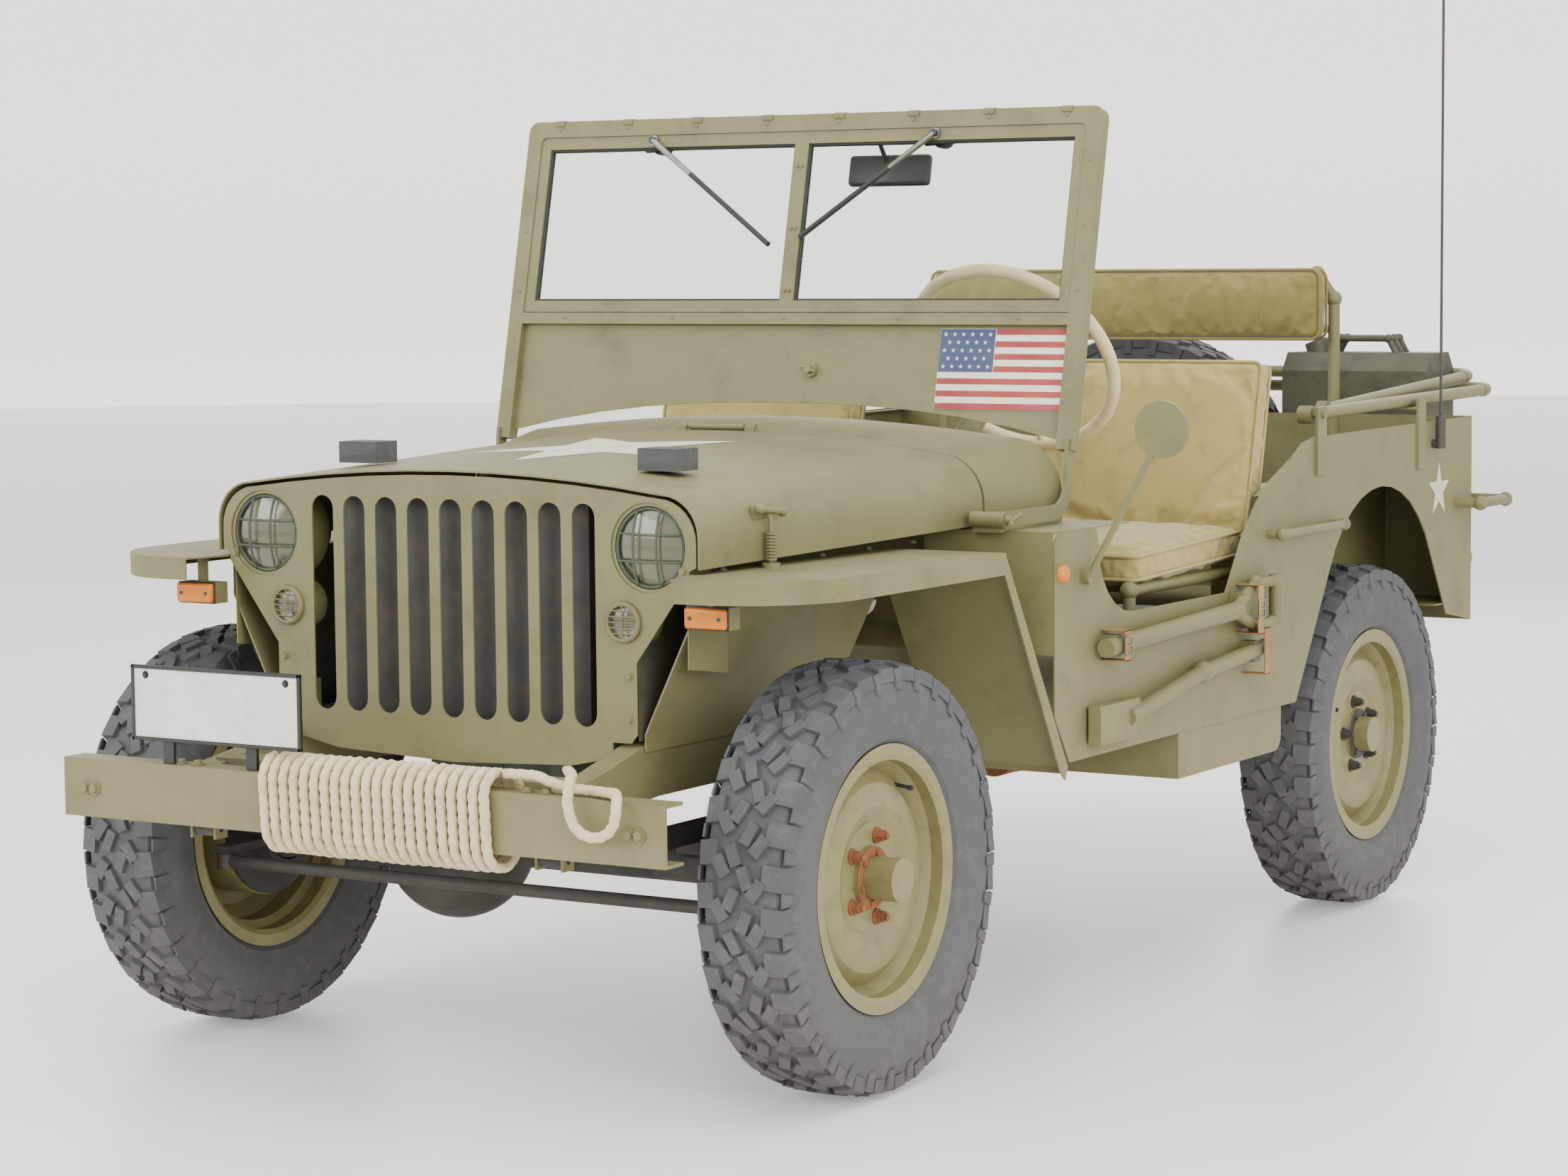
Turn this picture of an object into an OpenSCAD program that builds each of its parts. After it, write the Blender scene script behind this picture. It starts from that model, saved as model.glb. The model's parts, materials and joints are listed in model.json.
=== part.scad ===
// Open army field car with four driven wheels.
// The front points to -Y, the driver's side is +X, the ground is Z = 0,
// and the origin lies on the ground midway between the two axles.

/* [Running gear] */
// Distance between the front and rear axles
wheelbase = 2032; // [1700:1:2440]
// Distance between the left and right tyre centres
track = 1264; // [1250:1:1300]
// Outside radius of a tyre
tyre_r = 355; // [295:1:430]
// Width of a tyre
tyre_w = 165; // [138:1:180]
// Radius of the rim's bead seat
rim_r = 203; // [190:1:210]
// Radius of a brake drum
drum_r = 128; // [110:1:140]
// Radius of the steering ball at each end of the front axle
ball_r = 60; // [50:1:66]
// Steering angle to each side, in degrees
steer_lock = 26; // [20:1:30]

/* [Chassis frame] */
// Overall width of the two side rails
frame_w = 743; // [700:1:750]
// Width of one side rail
rail_w = 45; // [38:1:54]
// Height of one side rail
rail_h = 96; // [80:1:100]
// Length of the front bumper
bumper_w = 1204; // [1000:1:1440]
// Height of the front bumper
bumper_h = 98; // [82:1:118]
// Depth of the bumper's channel
bumper_d = 50; // [42:1:60]

/* [Body] */
// Width of the body
body_w = 1440; // [1400:1:1740]
// Thickness of the body's sheet steel
sheet = 3; // [2:0.5:4]
// Height of the floor above the axles
floor_h = 180; // [175:1:190]
// Height of the body's top edge above the floor
side_h = 465; // [440:1:500]
// Distance from the rear axle to the rear panel
tail = 515; // [480:1:560]
// Width of the door opening along its bottom edge
door_w = 400; // [340:1:480]

/* [Front end] */
// Distance from the front axle forward to the grille
nose = 224; // [200:1:260]
// Half of the hood's width at the grille
hood_front = 490; // [470:1:500]
// Half of the hood's width at the cowl
hood_rear = 555; // [540:1:565]
// Length of the hood
hood_len = 820; // [790:1:840]
// Number of slots in the grille
slots = 9; // [7:2:9]
// Width of one grille slot
slot_w = 45; // [36:1:50]
// Distance between grille slots
slot_pitch = 66.5; // [64:0.5:68]
// Radius of a headlamp's opening
headlamp_r = 73; // [62:1:76]

/* [Windscreen] */
// Width of the windscreen frame
screen_w = 1268; // [1260:1:1280]
// Height of the windscreen frame along its slope
screen_h = 640; // [560:1:700]
// Backward lean of the windscreen, in degrees
screen_lean = 12.3; // [10:0.1:14]
// Thickness of the windscreen's tube
screen_t = 26; // [22:1:32]

/* [Seats and fittings] */
// Width of a front seat
seat_w = 450; // [380:1:455]
// Radius of a seat tube
seat_tube = 12; // [10:0.5:14]
// Radius of the steering wheel, to the middle of its rim
wheel_rim_r = 207; // [175:1:215]
// Radius of a top bow's tube
bow_tube = 13; // [11:0.5:14]
// Radius of the rope
rope_r = 10; // [8:0.5:11]
// Height of the aerial
aerial_h = 1560; // [1300:10:1870]

/* [Hidden] */
$fn = 48;

// clearances: a seat between two pieces that rest together, a running fit, and free air
seat_gap = 0.3;
fit = 0.05;
air = 5;
eps = 0.01;

paint = "#7d7a58";
steel = "#4b4b46";
canvas = "#b5a263";
rubber = "#3b3d40";

// ---- stations along the car and levels above the ground ----
front_y = -wheelbase / 2;
rear_y = wheelbase / 2;
axle_z = tyre_r;
wheel_x = track / 2;
floor_z = axle_z + floor_h;
half_w = body_w / 2;
top_z = floor_z + side_h;
tail_y = rear_y + tail;
grille_y = front_y - nose;
hood_y = grille_y + hood_len;
king_x = wheel_x - 90;
tyre_in = wheel_x - tyre_w / 2;

// side rails: higher over the axles, level under the floor
rail_x = frame_w / 2 - rail_w / 2;
rail_top = floor_z - seat_gap;
rail_kick = 52;

// front bumper
bumper_y = grille_y - 280;
bumper_z = rail_top - 98;
bumper_t = 5;
horn_y = bumper_y + bumper_t + seat_gap;

// fenders and hood levels
fender_z = axle_z + 503;
hood_z = axle_z + 659;
hood_low = fender_z + 8;
hood_rise = 29;

// cowl
cowl_y = hood_y + 190;
cowl_half = 614;
foot_y = hood_y - 45;
foot_z = axle_z + 525;

// door opening
door_front = hood_y + 262;
door_z = axle_z + 362;

// windscreen
screen_y = hood_y + 198;
screen_z = hood_z - 14;
screen_half = screen_w / 2;
pivot_x = screen_half - 4;
pivot_y = hood_y - 60;
pivot_z = foot_z + 20;

// rear body
arch_r = 320;
arch_z = axle_z + 200;
house_x = tyre_in - 30;
house_z = 2 * tyre_r + 175;
house_l = 2 * tyre_r + 90;

// rear seat and bows
bow_x = half_w - 28;
bow_y = rear_y - 326;
bow_z = top_z + 36;
bow_end = tail_y + 234;
bow2_x = bow_x - 2 * bow_tube - 7;
bow2_y = bow_y + 160;

// steering wheel
sw = [300, hood_y + 600, axle_z + 805];
sw_lean = 35;

// spare wheel
spare = [-112, tail_y + tyre_w / 2 + 12, axle_z + 467];

// ---- shared shapes ----
function arc(cx, cy, r, a0, a1, n = 8) =
    [for (i = [0:n]) [cx + r * cos(a0 + (a1 - a0) * i / n), cy + r * sin(a0 + (a1 - a0) * i / n)]];

module both_sides() { children(); mirror([1, 0, 0]) children(); }

// a sheet in the YZ, XZ or XY plane, drawn as an outline and given its thickness
module sheet_x(x, t, outline) translate([x, 0, 0]) rotate([90, 0, 90]) linear_extrude(t) polygon(outline);
module sheet_y(y, t, outline) translate([0, y + t, 0]) rotate([90, 0, 0]) linear_extrude(t) polygon(outline);
module sheet_z(z, t, outline) translate([0, 0, z]) linear_extrude(t) polygon(outline);

// a round bar from p to q, and a bar bent along a list of points
module bar(p, q, r) {
    d = q - p;
    translate(p) rotate([0, acos(d[2] / norm(d)), atan2(d[1], d[0])]) cylinder(h = norm(d), r = r);
}
// each corner is a ball large enough to hold the mitre
module bent_bar(points, r) {
    for (i = [0:len(points) - 2]) bar(points[i], points[i + 1], r);
    if (len(points) > 2) for (i = [1:len(points) - 2]) translate(points[i]) sphere(r = 1.45 * r);
}
module box(lo, hi) translate(lo) cube(hi - lo);

// a disc whose axis is X, from x0 to x1
module disc_x(x0, x1, r, y, z) translate([x0, y, z]) rotate([0, 90, 0]) cylinder(h = x1 - x0, r = r);
module disc_y(y0, y1, r, x, z) translate([x, y0, z]) rotate([-90, 0, 0]) cylinder(h = y1 - y0, r = r);

// a rectangle with rounded corners, centred
module round_rect(w, h, r) {
    square([w - 2 * r, h], center = true);
    square([w, h - 2 * r], center = true);
    for (sx = [-1, 1], sy = [-1, 1]) translate([sx * (w / 2 - r), sy * (h / 2 - r)]) circle(r);
}

// ---- wheels: drawn around +Z as the outward axis, then turned to face left or right ----
module facing(side) rotate([0, side > 0 ? 90 : -90, 0]) children();

module tyre_solid() {
    hw = tyre_w / 2;
    rotate_extrude() polygon(concat(
        [[rim_r + seat_gap, -54], [rim_r + 12, -57], [rim_r + 20, -64]],
        [[(rim_r + tyre_r) / 2, -hw], [tyre_r - 45, -hw + 2], [tyre_r - 18, -hw + 5], [tyre_r, -hw + 12]],
        [[tyre_r, hw - 12], [tyre_r - 18, hw - 5], [tyre_r - 45, hw - 2], [(rim_r + tyre_r) / 2, hw]],
        [[rim_r + 20, 64], [rim_r + 12, 57], [rim_r + seat_gap, 54]]));
}

// rim with its drop centre, dished disc and flat hub face; bore_r is the hole at the centre
module wheel_disc(bore_r) {
    rotate_extrude() polygon([
        [rim_r - 6, -58], [rim_r + 15, -60], [rim_r + 17, -66], [rim_r - 3, -66], [rim_r - 12, -60],
        [rim_r - 12, -34], [rim_r - 26, -26], [rim_r - 26, 12], [rim_r - 50, 34], [rim_r - 82, 42],
        [rim_r - 112, 28], [bore_r, 28], [bore_r, 33], [rim_r - 114, 33], [rim_r - 84, 47],
        [rim_r - 48, 39], [rim_r - 24, 18], [rim_r - 10, 40], [rim_r - 10, 62], [rim_r - 2, 66],
        [rim_r + 17, 66], [rim_r + 15, 60], [rim_r, 58], [rim_r, 36], [rim_r - 14, 10],
        [rim_r - 18, -26], [rim_r - 6, -36]]);
}

// road wheel: disc, hub with its cap and brake drum, which turn together on the spindle
module road_wheel(cap) {
    difference() {
        union() {
            wheel_disc(30);
            translate([0, 0, -11]) cylinder(h = 50, r = 52);
            translate([0, 0, 33]) cylinder(h = cap, r = 36);
            translate([0, 0, -52]) difference() {
                cylinder(h = 80, r = drum_r);
                translate([0, 0, -1]) cylinder(h = 73, r = drum_r - 6);
            }
        }
        translate([0, 0, -60]) cylinder(h = 85, r = 20 + fit);
    }
}

module at_wheel(side, y) translate([side * wheel_x, y, axle_z]) facing(side) children();

module tyre_front_left() color(rubber) at_wheel(1, front_y) tyre_solid();
module tyre_front_right() color(rubber) at_wheel(-1, front_y) tyre_solid();
module tyre_rear_left() color(rubber) at_wheel(1, rear_y) tyre_solid();
module tyre_rear_right() color(rubber) at_wheel(-1, rear_y) tyre_solid();
module wheel_front_left() color(paint) at_wheel(1, front_y) road_wheel(62);
module wheel_front_right() color(paint) at_wheel(-1, front_y) road_wheel(62);
module wheel_rear_left() color(paint) at_wheel(1, rear_y) road_wheel(40);
module wheel_rear_right() color(paint) at_wheel(-1, rear_y) road_wheel(40);

module spare_tyre() color(rubber) translate(spare) rotate([-90, 0, 0]) tyre_solid();
module spare_wheel() color(paint) translate(spare) rotate([-90, 0, 0]) wheel_disc(40);

// spindle and backing plate, drawn in a wheel's own directions
module spindle(reach) {
    translate([0, 0, -reach]) cylinder(h = reach + 20, r = 20);
    translate([0, 0, -62]) cylinder(h = 5, r = drum_r - 2);
}

// ---- axles and steering ----
diff_x = -155;
diff_r = 130;
spring_pad = 5;

module axle_housing(y, nose_dir, tube_end) {
    bar([-tube_end, y, axle_z], [tube_end, y, axle_z], 36);
    translate([diff_x, y, axle_z - 4]) difference() {
        sphere(r = diff_r);
        translate([-2 * diff_r, -2 * diff_r, 100]) cube([4 * diff_r, 4 * diff_r, diff_r]);
    }
    y1 = y + nose_dir * 205;
    bar([diff_x, y, axle_z], [diff_x, y1, axle_z], 56);
    both_sides() box([rail_x - 28, y - 45, axle_z + 20], [rail_x + 28, y + 45, axle_z + 36 + spring_pad]);
}

module front_axle() color(steel) {
    axle_housing(front_y, 1, king_x - 30);
    both_sides() translate([king_x, front_y, axle_z]) sphere(r = ball_r);
}

module rear_axle() color(steel) {
    axle_housing(rear_y, -1, wheel_x - 66);
    for (s = [-1, 1]) at_wheel(s, rear_y) spindle(80);
}

arm_y = -165;
arm_z = axle_z - 42;
// steering knuckle: the cup over the ball, the backing plate and the spindle, turned in one
module knuckle(side) {
    k = [side * king_x, front_y, axle_z];
    at_wheel(side, front_y) rotate_extrude() polygon([[0, 20], [20, 20], [20, -16], [74, -16], [74, -57],
        [drum_r - 2, -57], [drum_r - 2, -62], [74, -62], [74, -100], [ball_r + 2, -100],
        [ball_r + 2, ball_r + seat_gap - 90], [0, ball_r + seat_gap - 90]]);
    box([k[0] - 15, front_y + arm_y - 15, arm_z + 14], [k[0] + 15, front_y - ball_r - 6, arm_z + 28]);
    bar([k[0], front_y + arm_y, arm_z - 14], [k[0], front_y + arm_y, arm_z + 16], 7);
}
module knuckle_left() color(steel) knuckle(1);
module knuckle_right() color(steel) knuckle(-1);

module tie_rod() color(steel) difference() {
    union() {
        bar([-king_x, front_y + arm_y, arm_z], [king_x, front_y + arm_y, arm_z], 11);
        for (s = [-1, 1]) translate([s * king_x, front_y + arm_y, arm_z - 13.5]) cylinder(h = 27, r = 17);
    }
    for (s = [-1, 1]) translate([s * king_x, front_y + arm_y, arm_z - 20]) cylinder(h = 40, r = 7 + fit);
}

// ---- chassis ----
function rail_line(dz) = [[horn_y, 34 + dz * 0.58], [bumper_y + bumper_d + 5, 34 + dz * 0.58],
    [front_y - 330, 40 + dz * 0.7],
    [front_y - 170, rail_kick + dz], [front_y + 180, rail_kick + dz], [front_y + 380, dz],
    [rear_y - 420, dz], [rear_y - 230, rail_kick + dz], [rear_y + 200, rail_kick + dz],
    [tail_y - 46, rail_kick + dz]];
function reversed(list) = [for (i = [len(list) - 1:-1:0]) list[i]];
function above(list, z) = [for (p = list) [p[0], p[1] + z]];

spring_z = axle_z + 68;
hanger_w = 30;
spring_front = 436;
spring_rear = 530;

beam_x = rail_x + 242;
module chassis_frame() color(paint) {
    base = rail_top - rail_h;
    lower = rail_line(0);
    upper = [for (p = rail_line(rail_h)) p];
    difference() {
        union() {
            both_sides() {
                sheet_x(rail_x - rail_w / 2, rail_w, concat(above(lower, base), above(reversed(upper), base)));
                // spring hangers under the rail
                for (p = [[front_y, spring_front], [rear_y, spring_rear]], s = [-1, 1])
                    for (x = [rail_x - 27, rail_x + 22.5])
                        box([x, p[0] + s * p[1] - hanger_w / 2, spring_z - 16],
                            [x + 4.5, p[0] + s * p[1] + hanger_w / 2, base + rail_h * 0.8]);
            }
            // cross members
            for (p = [[horn_y + 120, 50, 50], [170, 24, 60], [rear_y - 480, 6, 70]])
                box([-rail_x, p[0] - 35, base + p[1]], [rail_x, p[0] + 35, base + p[1] + p[2]]);
            box([-beam_x, tail_y - 76, base + rail_kick], [beam_x, tail_y - 26, base + rail_kick + rail_h]);
        }
        for (p = [[front_y, spring_front], [rear_y, spring_rear]], s = [-1, 1])
            bar([-frame_w, p[0] + s * p[1], spring_z], [frame_w, p[0] + s * p[1], spring_z], 6);
    }
}

module leaf_springs() color(steel) both_sides()
    for (p = [[front_y, spring_front], [rear_y, spring_rear]]) {
        difference() {
            union() {
                for (s = [-1, 1])
                    disc_x(rail_x - 22, rail_x + 22, 13, p[0] + s * p[1], spring_z);
                for (i = [0:3])
                    box([rail_x - 22, p[0] - p[1] * (1 - 0.22 * i), spring_z - 3.5 - 7 * i],
                        [rail_x + 22, p[0] + p[1] * (1 - 0.22 * i), spring_z + 3.5 - 7 * i + (i > 0 ? eps : 0)]);
                box([rail_x - 22, p[0] - 40, axle_z + 36 + spring_pad + seat_gap],
                    [rail_x + 22, p[0] + 40, spring_z]);
            }
            for (s = [-1, 1]) bar([0, p[0] + s * p[1], spring_z], [frame_w, p[0] + s * p[1], spring_z], 6);
        }
        for (s = [-1, 1]) disc_x(rail_x - 26.5, rail_x + 26.5, 6 - fit, p[0] + s * p[1], spring_z);
    }

// dampers lean inwards beside the springs, from the axle to the rail
module shock_absorbers() color(steel) both_sides()
    for (p = [[front_y, 1], [rear_y, -1]]) {
        foot = [rail_x + 55, p[0] + p[1] * 62, axle_z + 14];
        head = [rail_x + 55, p[0] + p[1] * 190, rail_top + 6];
        bar(foot, foot + (head - foot) * 0.5, 24);
        bar(foot + (head - foot) * 0.5, head, 19);
        bar([rail_x + rail_w / 2 + seat_gap, head[1], head[2]], head, 12);
        bar([foot[0], foot[1] - p[1] * 25.7, foot[2]], foot, 12);
    }

module prop_shafts() color(steel) for (s = [-1, 1]) {
    y0 = s < 0 ? front_y + 205 + seat_gap : rear_y - 205 - seat_gap;
    y1 = s < 0 ? -100 - seat_gap : 134.7 + seat_gap;
    p0 = [diff_x, y0, axle_z];
    p1 = [diff_x, y1, axle_z + 62];
    bar(p0 + [0, -s * 30, 0], p1 + [0, s * 30, 0], 20);
    bar(p0, p0 + [0, -s * 45, 0], 40);
    bar(p1 + [0, s * 45, 0], p1, 40);
}

module engine_and_gearbox() color(steel) {
    base = rail_top - rail_h;
    // engine
    box([-140, front_y - 100, axle_z + 136], [140, front_y + 400, axle_z + 560]);
    // front mounting on the rails
    box([-rail_x, front_y - 100, base + rail_kick + rail_h + seat_gap],
        [rail_x, front_y - 60, base + rail_kick + rail_h + 16]);
    // clutch housing, gearbox and transfer case
    box([-95, front_y + 390, axle_z + 110], [95, 0, axle_z + 245]);
    box([-235, -100, axle_z + 20], [95, 134.7, axle_z + 150]);
    // levers
    for (p = [[-40, -110, 900], [-95, 40, 800], [-135, 40, 800]]) {
        bar([p[0], p[1], axle_z + 120], [p[0], p[1] + 60, axle_z - 355 + p[2] - 40], 7);
        translate([p[0], p[1] + 60, axle_z - 355 + p[2] - 40]) sphere(r = 19);
    }
}

module exhaust() color("#5b4a3a") {
    z = axle_z + 45;
    x = 225;
    bent_bar([[140 + seat_gap, front_y + 250, axle_z + 190], [x, front_y + 250, axle_z + 190],
        [x, front_y + 320, axle_z + 90], [x, front_y + 520, z], [x, rear_y - 780, z]], 20);
    bar([x, rear_y - 790, z - 14], [x, rear_y - 400, z - 14], 52);
    bent_bar([[x, rear_y - 410, z - 14], [x, rear_y - 330, z - 14], [half_w - 130, rear_y - 330, z - 30]], 18);
    // hanger up to the cross member
    box([x - 14, rear_y - 490, z], [x + 14, rear_y - 470, rail_top - rail_h + 6 - seat_gap]);
}

module front_bumper() color(paint) difference() {
    box([-bumper_w / 2, bumper_y, bumper_z], [bumper_w / 2, bumper_y + bumper_d, bumper_z + bumper_h]);
    box([-bumper_w, bumper_y + bumper_t, bumper_z + bumper_t],
        [bumper_w, bumper_y + 2 * bumper_d, bumper_z + bumper_h - bumper_t]);
    // two holes for a tow bar
    for (s = [-1, 1]) bar([s * tow_x, bumper_y - 10, bumper_z + bumper_h / 2],
        [s * tow_x, bumper_y + 20, bumper_z + bumper_h / 2], 9);
}
tow_x = bumper_w / 2 - 45;

// gussets join the bumper's web to the horns of the frame
module bumper_stay() box([rail_x - 22, bumper_y + bumper_t + seat_gap, bumper_z + 20],
    [rail_x + 22, horn_y + eps, bumper_z + bumper_h - 20]);

// rope wound round the bumper, and its loose end on top
coil_x0 = -181;
coil_x1 = 321;
coil_gap = 0.6;
// each turn is a tall round-ended loop, wide enough to pass the bumper's corners
loop_r = bumper_d / 2 + rope_r + 2;
loop_c = bumper_h / 2 - 11.5;
module rope_coil() color("#d8c09a") translate([coil_x0, bumper_y + bumper_d / 2, bumper_z + bumper_h / 2])
    rotate([90, 0, 90]) linear_extrude(coil_x1 - coil_x0) difference() {
        union() {
            square([2 * (loop_r + rope_r), 2 * loop_c], center = true);
            for (s = [-1, 1]) translate([0, s * loop_c]) circle(r = loop_r + rope_r);
        }
        square([bumper_d + 2 * coil_gap, bumper_h + 2 * coil_gap], center = true);
    }

// the loose end: across the top flange, a loop down the face, and back
tail_points = [[333, -1495, 561], [350, -1495, 559], [370, -1495, 554], [390, -1495, 549], [410, -1495, 546],
    [430, -1495, 544.3], [455, -1497, 544.3], [480, -1503, 544.3], [500, -1512, 546], [516, -1524, 546],
    [526, -1538, 538], [529, -1545, 522], [525, -1545, 504], [514, -1544, 490], [497, -1543, 482],
    [478, -1543, 481], [460, -1543, 488], [448, -1544, 502], [443, -1545, 518], [441, -1546, 534],
    [439, -1540, 551], [434, -1528, 564], [426, -1512, 569], [414, -1498, 570], [400, -1486, 572]];
tail_shift = [bumper_z + bumper_h - 534.7, bumper_y + 1520];
function ring_dir(p, i) = let (a = p[max(i - 1, 0)], b = p[min(i + 1, len(p) - 1)]) (b - a) / norm(b - a);
module swept(p, r, n = 8) {
    rings = [for (i = [0:len(p) - 1])
        let (d = ring_dir(p, i), u0 = cross(d, abs(d[2]) > 0.9 ? [1, 0, 0] : [0, 0, 1]),
            u = u0 / norm(u0), v = cross(u, d))
        for (k = [0:n - 1]) p[i] + r * (cos(360 * k / n) * u + sin(360 * k / n) * v)];
    sides = [for (i = [0:len(p) - 2], k = [0:n - 1], h = [0, 1]) let (a = i * n + k, b = i * n + (k + 1) % n)
        h == 0 ? [a, b, b + n] : [a, b + n, a + n]];
    ends = [[for (k = [n - 1:-1:0]) k], [for (k = [0:n - 1]) (len(p) - 1) * n + k]];
    polyhedron(points = rings, faces = concat(sides, ends), convexity = 6);
}
module rope_tail() color("#d8c09a")
    swept([for (q = tail_points) [q[0], q[1] + tail_shift[1], q[2] + tail_shift[0]]], rope_r, 10);

module number_plate() color("white") {
    lo = [-452, bumper_y + 6, bumper_z + bumper_h + seat_gap];
    box(lo + [0, 0, 38], lo + [353, 3, 162]);
    for (x = [60, 235]) box(lo + [x, 3 - eps, 0], lo + [x + 22, 9, 110]);
    for (x = [60, 235]) box(lo + [x, 3, 0], lo + [x + 22, 36, 3]);
}

module bumperettes() color(paint) both_sides() difference() {
    translate([beam_x - 92, tail_y - 26 + seat_gap, axle_z + 103]) difference() {
        cylinder(h = 90, r = 88);
        translate([0, 0, -1]) cylinder(h = 92, r = 82);
    }
    box([-body_w, tail_y - 300, 0], [body_w, tail_y - 26 + seat_gap, 2 * top_z]);
}

// towing hook below the spare tyre, on a bracket under the rear cross member
hook_z = spare[2] - tyre_r - 37;
module pintle_hook() color(steel) {
    y1 = tail_y - 24;
    box([-60, y1 - 52, rail_top - rail_h + rail_kick - 12], [60, y1 + 2, rail_top - rail_h + rail_kick - seat_gap]);
    box([-60, y1 - 8, hook_z - 45], [60, y1 + 2, rail_top - rail_h + rail_kick - 1]);
    difference() {
        union() {
            box([-18, y1, hook_z - 26], [18, y1 + 60, hook_z + 26]);
            disc_x(-18, 18, 38, y1 + 86, hook_z);
        }
        disc_x(-30, 30, 21, y1 + 86, hook_z);
    }
}

// ---- front end ----
function shell_outline(w, low, z_top, z_side, r, drop = 0) = concat(
    [[w, low - drop]], arc(w - r, z_side, r, 0, 90, 8),
    [for (i = [1:9]) let (x = (w - r) * (1 - i / 5)) [x, z_top - (z_top - z_side - r) * pow(x / (w - r), 2)]],
    arc(-(w - r), z_side, r, 90, 180, 8), [[-w, low - drop]]);

// a body between two outlines of the same number of points, that stand at y0 and y1
module shell(y0, o0, y1, o1) {
    n = len(o0);
    polyhedron(points = concat([for (p = o0) [p[0], y0, p[1]]], [for (p = o1) [p[0], y1, p[1]]]),
        faces = concat([[for (i = [n - 1:-1:0]) i], [for (i = [0:n - 1]) i + n]],
            [for (i = [0:n - 1], h = [0, 1]) let (k = (i + 1) % n) h == 0 ? [i, k, k + n] : [i, k + n, i + n]]),
        convexity = 6);
}
function front_outline(t, drop = 0) =
    shell_outline(hood_front - t, hood_low, hood_z - t, hood_z - 99, 70 - t, drop);
function rear_outline(t, drop = 0) =
    shell_outline(hood_rear - t, hood_low + 20, hood_z + hood_rise - t, hood_z - 92, 88 - t, drop);
function cowl_outline(t, drop = 0) =
    shell_outline(cowl_half - t, hood_low + 14, hood_z + 48 - t, hood_z - 84, 100 - t, drop);

module hood() color(paint) {
    difference() {
        shell(grille_y - 3, front_outline(0), hood_y, rear_outline(0));
        shell(grille_y - 4, front_outline(sheet, 60), hood_y + 1, rear_outline(sheet, 60));
    }
    // hinge ears and their pin
    both_sides() {
        box([64, hood_y - 6, hood_z + 24], [84, hood_y - 0.5, hinge_z]);
        disc_x(64, 84, 5, hinge_y, hinge_z);
    }
    disc_x(-70, 70, 3, hinge_y, hinge_z);
}
hinge_y = hood_y + 2.5;
hinge_z = hood_z + 36;

block_y = front_y - 40;
module hood_blocks() color("#4a4a48") for (s = [-1, 1]) {
    z = hood_z - 3.4;
    box([s * 310 - 40, block_y - 30, z], [s * 310 + 40, block_y + 30, z + 37]);
}

module grille() color(paint) {
    difference() {
        sheet_y(grille_y, sheet, concat(
            [[0, axle_z + 174], [240, axle_z + 184], [318, axle_z + 200], [318, axle_z + 226], [354, axle_z + 226]],
            [[366, axle_z + 240], [366, axle_z + 357], [fender_in - seat_gap, fender_z - 9], [fender_in - seat_gap, fender_z + 4]],
            [[hood_front - 8, hood_low + 3]],
            arc(hood_front - 78, hood_z - 107, 70, 0, 90, 8),
            [for (i = [1:9]) let (x = (hood_front - 78) * (1 - i / 5)) [x, hood_z - 9 - 28 * pow(1 - i / 5, 2)]],
            arc(-(hood_front - 78), hood_z - 107, 70, 90, 180, 8),
            [[-(hood_front - 8), hood_low + 3]],
            [[-fender_in + seat_gap, fender_z + 4], [-fender_in + seat_gap, fender_z - 9], [-366, axle_z + 357], [-366, axle_z + 240]],
            [[-354, axle_z + 226], [-318, axle_z + 226], [-318, axle_z + 200], [-240, axle_z + 184]]));
        for (i = [0:slots - 1]) grille_slot((i - (slots - 1) / 2) * slot_pitch);
        both_sides() {
            disc_y(grille_y - 5, grille_y + 10, headlamp_r, 392, axle_z + 543);
            disc_y(grille_y - 5, grille_y + 10, 34, 343, axle_z + 422);
        }
    }
    // feet on the frame
    both_sides() box([rail_x - 20, grille_y + 1, rail_top + rail_kick + seat_gap],
        [rail_x - 4, grille_y + 66, rail_top + rail_kick + 60]);
}
module grille_slot(x) {
    z0 = axle_z + 248 + slot_w / 2;
    z1 = axle_z + 611 - slot_w / 2;
    sheet_y(grille_y - 5, 15, concat(arc(x, z1, slot_w / 2, 0, 180, 8), arc(x, z0, slot_w / 2, 180, 360, 8)));
}

module radiator() color(steel) {
    box([-255, grille_y + 32, axle_z + 190], [255, grille_y + 88, axle_z + 625]);
    both_sides() box([250, grille_y + 71, rail_top + rail_kick + seat_gap], [rail_x + 10, grille_y + 86, rail_top + rail_kick + 14]);
}

sig = [520, grille_y - 11, axle_z + 438];
module lamps() color("silver") {
    both_sides() {
        difference() {
            union() {
                disc_y(grille_y + sheet + seat_gap, grille_y + 75, headlamp_r + 8, 392, axle_z + 543);
                translate([392, grille_y + 75, axle_z + 543]) sphere(r = headlamp_r - 6);
            }
            disc_y(grille_y - 50, grille_y + 12, headlamp_r - 6, 392, axle_z + 543);
        }
        disc_y(grille_y + sheet + seat_gap, grille_y + 55, 40, 343, axle_z + 422);
        // turn signals hang from the front of the fenders
        box([sig[0] - 40, sig[1] - 16, sig[2] - 18], [sig[0] + 40, sig[1] + 16, sig[2] + 18]);
        box([sig[0] - 5, sig[1] - 8, sig[2] + 17], [sig[0] + 5, sig[1] + 8, fender_z - sheet - seat_gap]);
        // rear lamps on the rear panel
        disc_y(tail_y + seat_gap, tail_y + 40, 36, half_w - 50, axle_z + 330);
    }
}

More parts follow.
